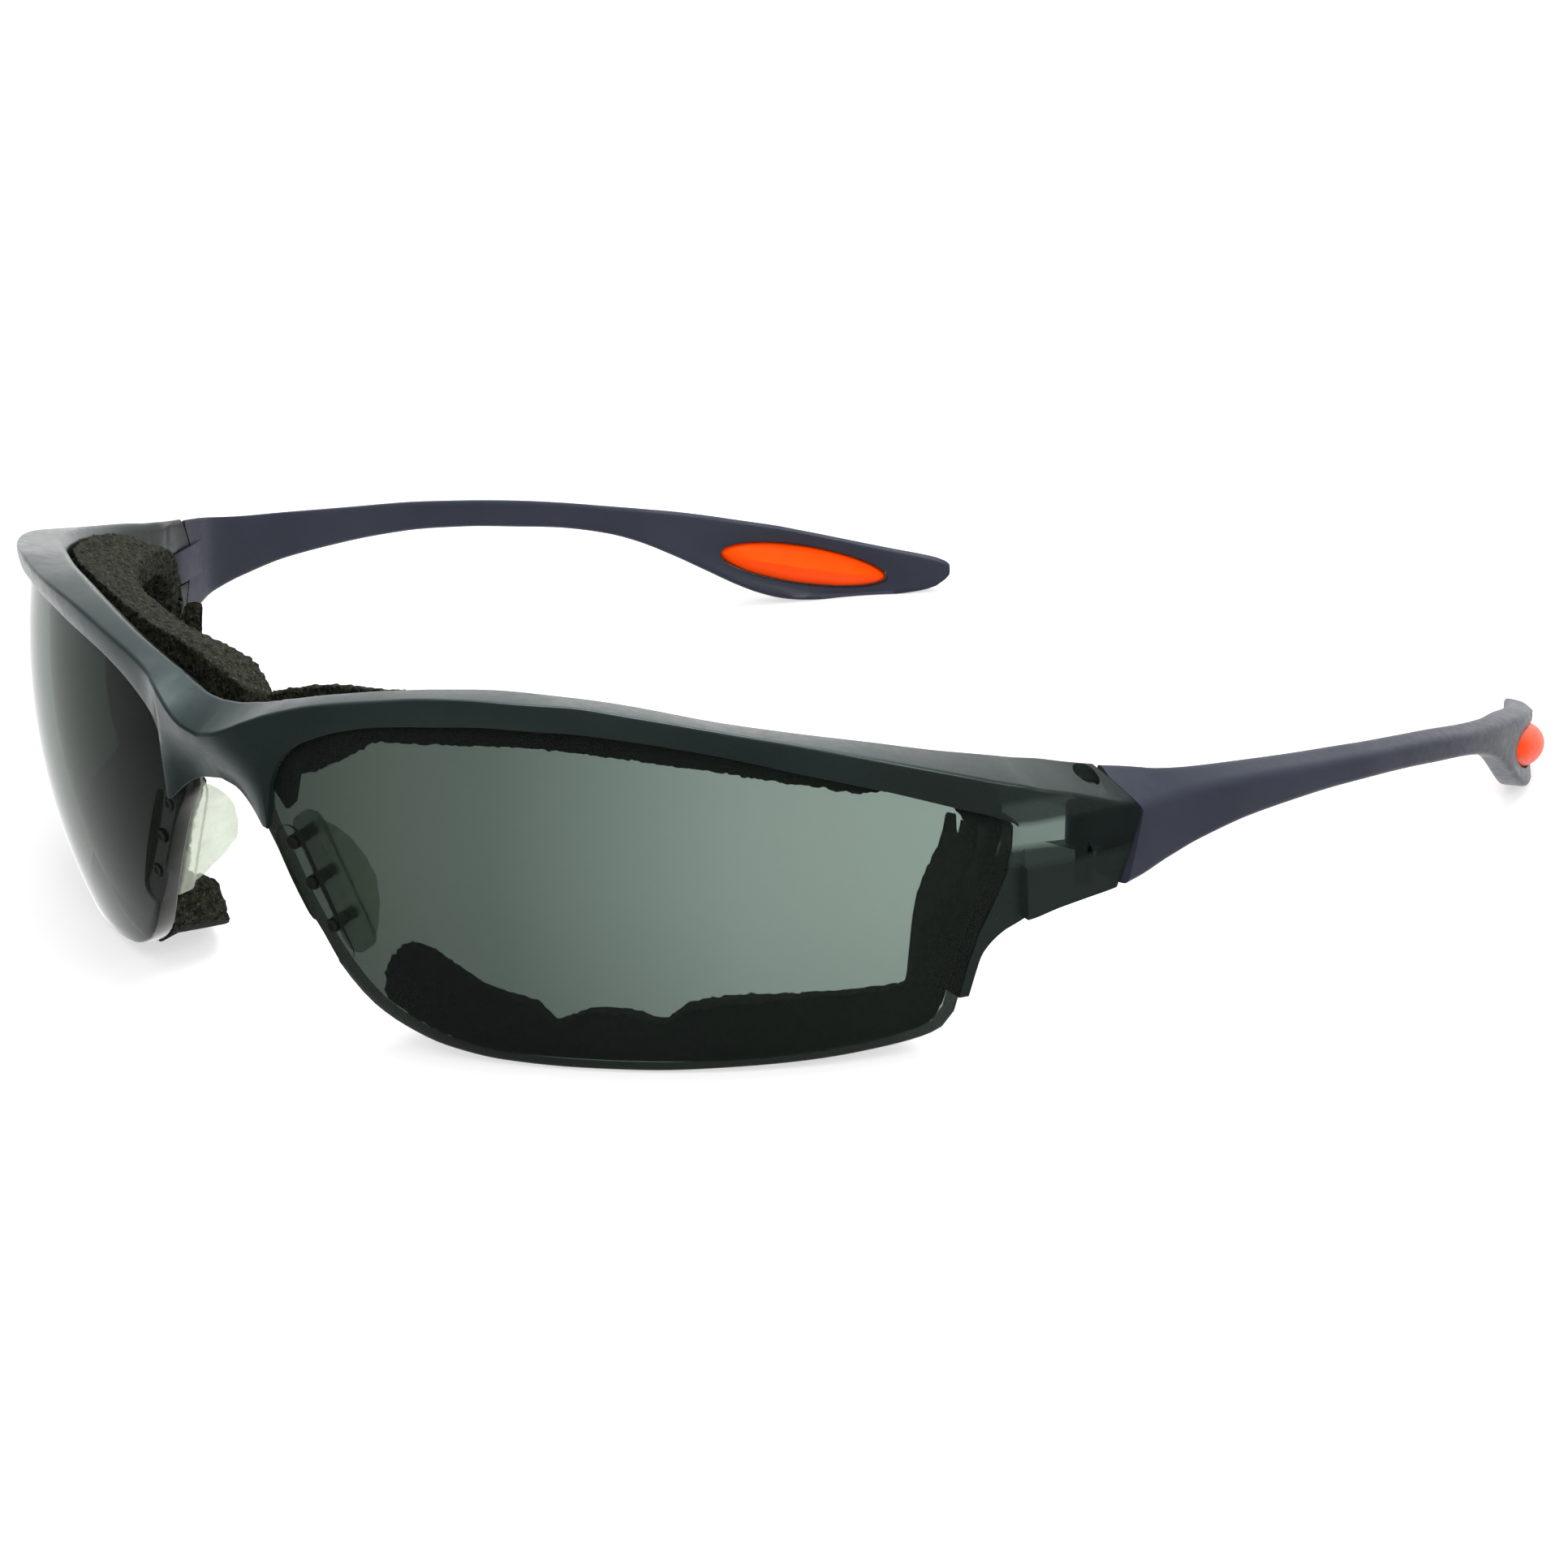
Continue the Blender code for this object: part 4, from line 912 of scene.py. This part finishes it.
def insert_rings(grow, through=None):
    """Rings of the oval insert; through, a half width, makes them a straight window instead."""
    rings = []
    length, depth, height = (half + grow for half in INSERT_HALF)
    for i in range(1, INSERT_COUNT):
        s = -math.cos(math.pi * i / INSERT_COUNT)
        y = INSERT_MIDDLE[0] + s * length * INSERT_SHARE
        middle, out = temple_line(y)
        middle.z = INSERT_MIDDLE[1] - s * length * INSERT_FALL
        spread = math.sqrt(1 - s * s)
        ring = []
        for k in range(INSERT_COUNT):
            t = math.tau * k / INSERT_COUNT
            across, up = math.cos(t), math.sin(t)
            if through:
                across = through * math.copysign(1, across) if abs(across) > 1e-6 else 0.0
            else:
                if across < 0:
                    across = (1 - INSERT_CREASE) * across - INSERT_CREASE * (1 - abs(up))
                across *= depth * spread
            ring.append(tuple(middle + out * across + Vector((0, 0, height * spread * up))))
        rings.append(ring)
    return rings


def tongue(side):
    """Round eye about the pin and its neck into the temple."""
    eye = [(PIN_X + EYE_RADIUS * math.cos(t), PIN_Y + EYE_RADIUS * math.sin(t))
           for t in (math.pi + math.pi * i / 28 for i in range(29))]
    neck = [(PIN_X + x, y) for x, y in TONGUE_NECK]
    return put("tongue", *prism(eye + neck, *TONGUE_Z, "Z"), side=side)


def temple_arm(name, side):
    """Temple with its joint face, its tongue and the window for the insert."""
    arm = put(name, *loft(temple_rings(TEMPLE_STEP)), side=side)
    notch = [(y + END_GAP, z) for y, z in CHEVRON] + list(AHEAD_OF_CHEVRON)
    boolean(arm, "DIFFERENCE", put("notch", *prism(notch, *END_CUT_X, "X"), side=side),
            put("relief", *rod(*pin_line(), KNUCKLE_RELIEF, 96), side=side))
    boolean(arm, "UNION", tongue(side))
    boolean(arm, "DIFFERENCE", put("hole", *rod(*pin_line(), PIN_HOLE_RADIUS, PIN_SIDES), side=side),
            put("window", *loft(insert_rings(INSERT_FIT, through=WINDOW_HALF)), side=side))
    return settle(arm, crease=35)


def hinge_peg(name, side):
    """Hinge pin with a rounded tip and a dished head."""
    low, high = PIN_Z
    neck = high - HEAD_HEIGHT
    # radius, and height
    profile = ((0.02, low), (PIN_RADIUS - 0.25, low), (PIN_RADIUS - 0.06, low + 0.1), (PIN_RADIUS, low + 0.3),
               (PIN_RADIUS, neck - 0.1), (PIN_RADIUS + 0.1, neck), (PIN_HEAD_RADIUS, neck + 0.03),
               (PIN_HEAD_RADIUS, high - 0.25), (PIN_HEAD_RADIUS - 0.08, high - 0.06),
               (PIN_HEAD_RADIUS - 0.25, high), (0.5, high - 0.03), (0.42, high - 0.3), (0.02, high - 0.34))
    rings = [[(PIN_X + r * math.cos(t), PIN_Y + r * math.sin(t), z)
              for t in (math.tau * i / PIN_SIDES for i in range(PIN_SIDES))] for r, z in profile]
    return settle(put(name, *loft(rings), side=side), crease=35)


# ---------------------------------------------------------------- stage
def studio():
    """Pale floor, white surroundings, soft lamps and the camera."""
    low, high = cad_bounds
    middle = (low + high) / 2
    bm = bmesh.new()
    bmesh.ops.create_grid(bm, x_segments=8, y_segments=8, size=FLOOR_SIZE)
    mesh = bpy.data.meshes.new("pale_floor")
    bm.to_mesh(mesh)
    bm.free()
    floor = bpy.data.objects.new("pale_floor", mesh)
    floor.location = (middle.x, middle.y, low.z)
    bpy.context.scene.collection.objects.link(floor)
    floor.visible_glossy = False
    s = Shading("pale_floor")
    mottle = s.noise(0.01, 2.0)
    s.set(Base_Color=s.ramp(mottle, (0.0, (0.46, 0.46, 0.46)), (1.0, (0.48, 0.48, 0.48))), Roughness=0.9,
          Specular_IOR_Level=0.0, Emission_Color=(1.0, 1.0, 1.0, 1.0), Emission_Strength=0.62)
    mesh.materials.append(s.material)

    room = bpy.data.worlds.new("studio_room")
    room.use_nodes = True
    bpy.context.scene.world = room
    tree = room.node_tree
    toward = tree.nodes.new("ShaderNodeTexCoord").outputs["Generated"]

    def glow(direction, start, full, power):
        dot = tree.nodes.new("ShaderNodeVectorMath")
        dot.operation = "DOT_PRODUCT"
        tree.links.new(toward, dot.inputs[0])
        dot.inputs[1].default_value = Vector(direction).normalized()
        span = tree.nodes.new("ShaderNodeMapRange")
        span.interpolation_type = "SMOOTHSTEP"
        tree.links.new(dot.outputs["Value"], span.inputs["Value"])
        for key, value in (("From Min", start), ("From Max", full), ("To Min", 0.0), ("To Max", power)):
            span.inputs[key].default_value = value
        return span.outputs["Result"]

    def join(operation, a, b):
        made = tree.nodes.new("ShaderNodeMath")
        made.operation = operation
        for socket, value in zip(made.inputs, (a, b)):
            if isinstance(value, bpy.types.NodeSocket):
                tree.links.new(value, socket)
            else:
                socket.default_value = value
        return made.outputs[0]

    total = ROOM_DARK
    for facts in ROOM_GLOWS:
        total = join("ADD", total, glow(*facts))
    seen = tree.nodes.new("ShaderNodeLightPath").outputs["Is Camera Ray"]
    total = join("MAXIMUM", total, seen)        # the room is white to the camera itself
    tree.links.new(total, tree.nodes["Background"].inputs["Strength"])
    tree.nodes["Background"].inputs["Color"].default_value = (1.0, 1.0, 1.0, 1.0)

    for name, place, size, power in LAMPS:
        lamp = bpy.data.lights.new(name, "AREA")
        lamp.size = size
        lamp.energy = power
        obj = bpy.data.objects.new(name, lamp)
        obj.visible_glossy = name != UNREFLECTED_LAMP
        obj.location = middle + Vector(place)
        obj.rotation_euler = (middle - obj.location).to_track_quat("-Z", "Y").to_euler()
        bpy.context.scene.collection.objects.link(obj)

    lens_data = bpy.data.cameras.new("camera")
    lens_data.lens = CAMERA_LENS
    lens_data.clip_start, lens_data.clip_end = CAMERA_CLIP
    camera = bpy.data.objects.new("camera", lens_data)
    turn = Matrix(CAMERA_AXES).transposed().to_4x4()
    camera.matrix_world = Matrix.Translation(CAMERA_PLACE) @ turn
    bpy.context.scene.collection.objects.link(camera)
    bpy.context.scene.camera = camera
    bpy.context.scene.view_settings.view_transform = "Standard"


def dressing():
    """Every piece over its solid."""
    smoke, tint, edge, foam, clear = smoke_frame(), smoke_lens(), lens_edge(), open_foam(), clear_rubber()
    dark, steel, charcoal, orange = dark_stud(), pin_steel(), charcoal_temple(), orange_insert()
    dress(front_shell(), "front_frame", "front", "smoke_frame", smoke)
    for hand, side in (("left", 1), ("right", -1)):
        dress(lens_shell(f"lens_{hand}_shell", side), f"lens_{hand}", "front", "smoke_lens", tint, edge)
        pad = foam_pad(f"foam_{hand}_pad", f"foam_gasket_{hand}")
        dress(pad, f"foam_gasket_{hand}", "front", "foam", foam)
        dress(pad_shell(f"nose_{hand}_moulding", side), f"nose_pad_{hand}", "front", "clear_rubber", clear)
        for n, (azimuth, z) in enumerate(STUDS, 1):
            dress(stud_peg(f"stud_{hand}_{n}_peg", side, azimuth, z), f"nose_pad_stud_{hand}_{n}", "front",
                  "dark_stud", dark)
        dress(hinge_peg(f"hinge_{hand}_peg", side), f"hinge_pin_{hand}", "front", "pin_steel", steel)
        arm = temple_arm(f"arm_{hand}_shell", side)
        dress(arm, f"temple_{hand}", f"temple_{hand}", "charcoal_temple", charcoal)
        oval = settle(put(f"oval_{hand}_insert", *loft(insert_rings(0.0)), side=side), crease=24)
        dress(oval, f"temple_insert_{hand}", f"temple_{hand}", "orange_insert", orange)


dressing()
studio()
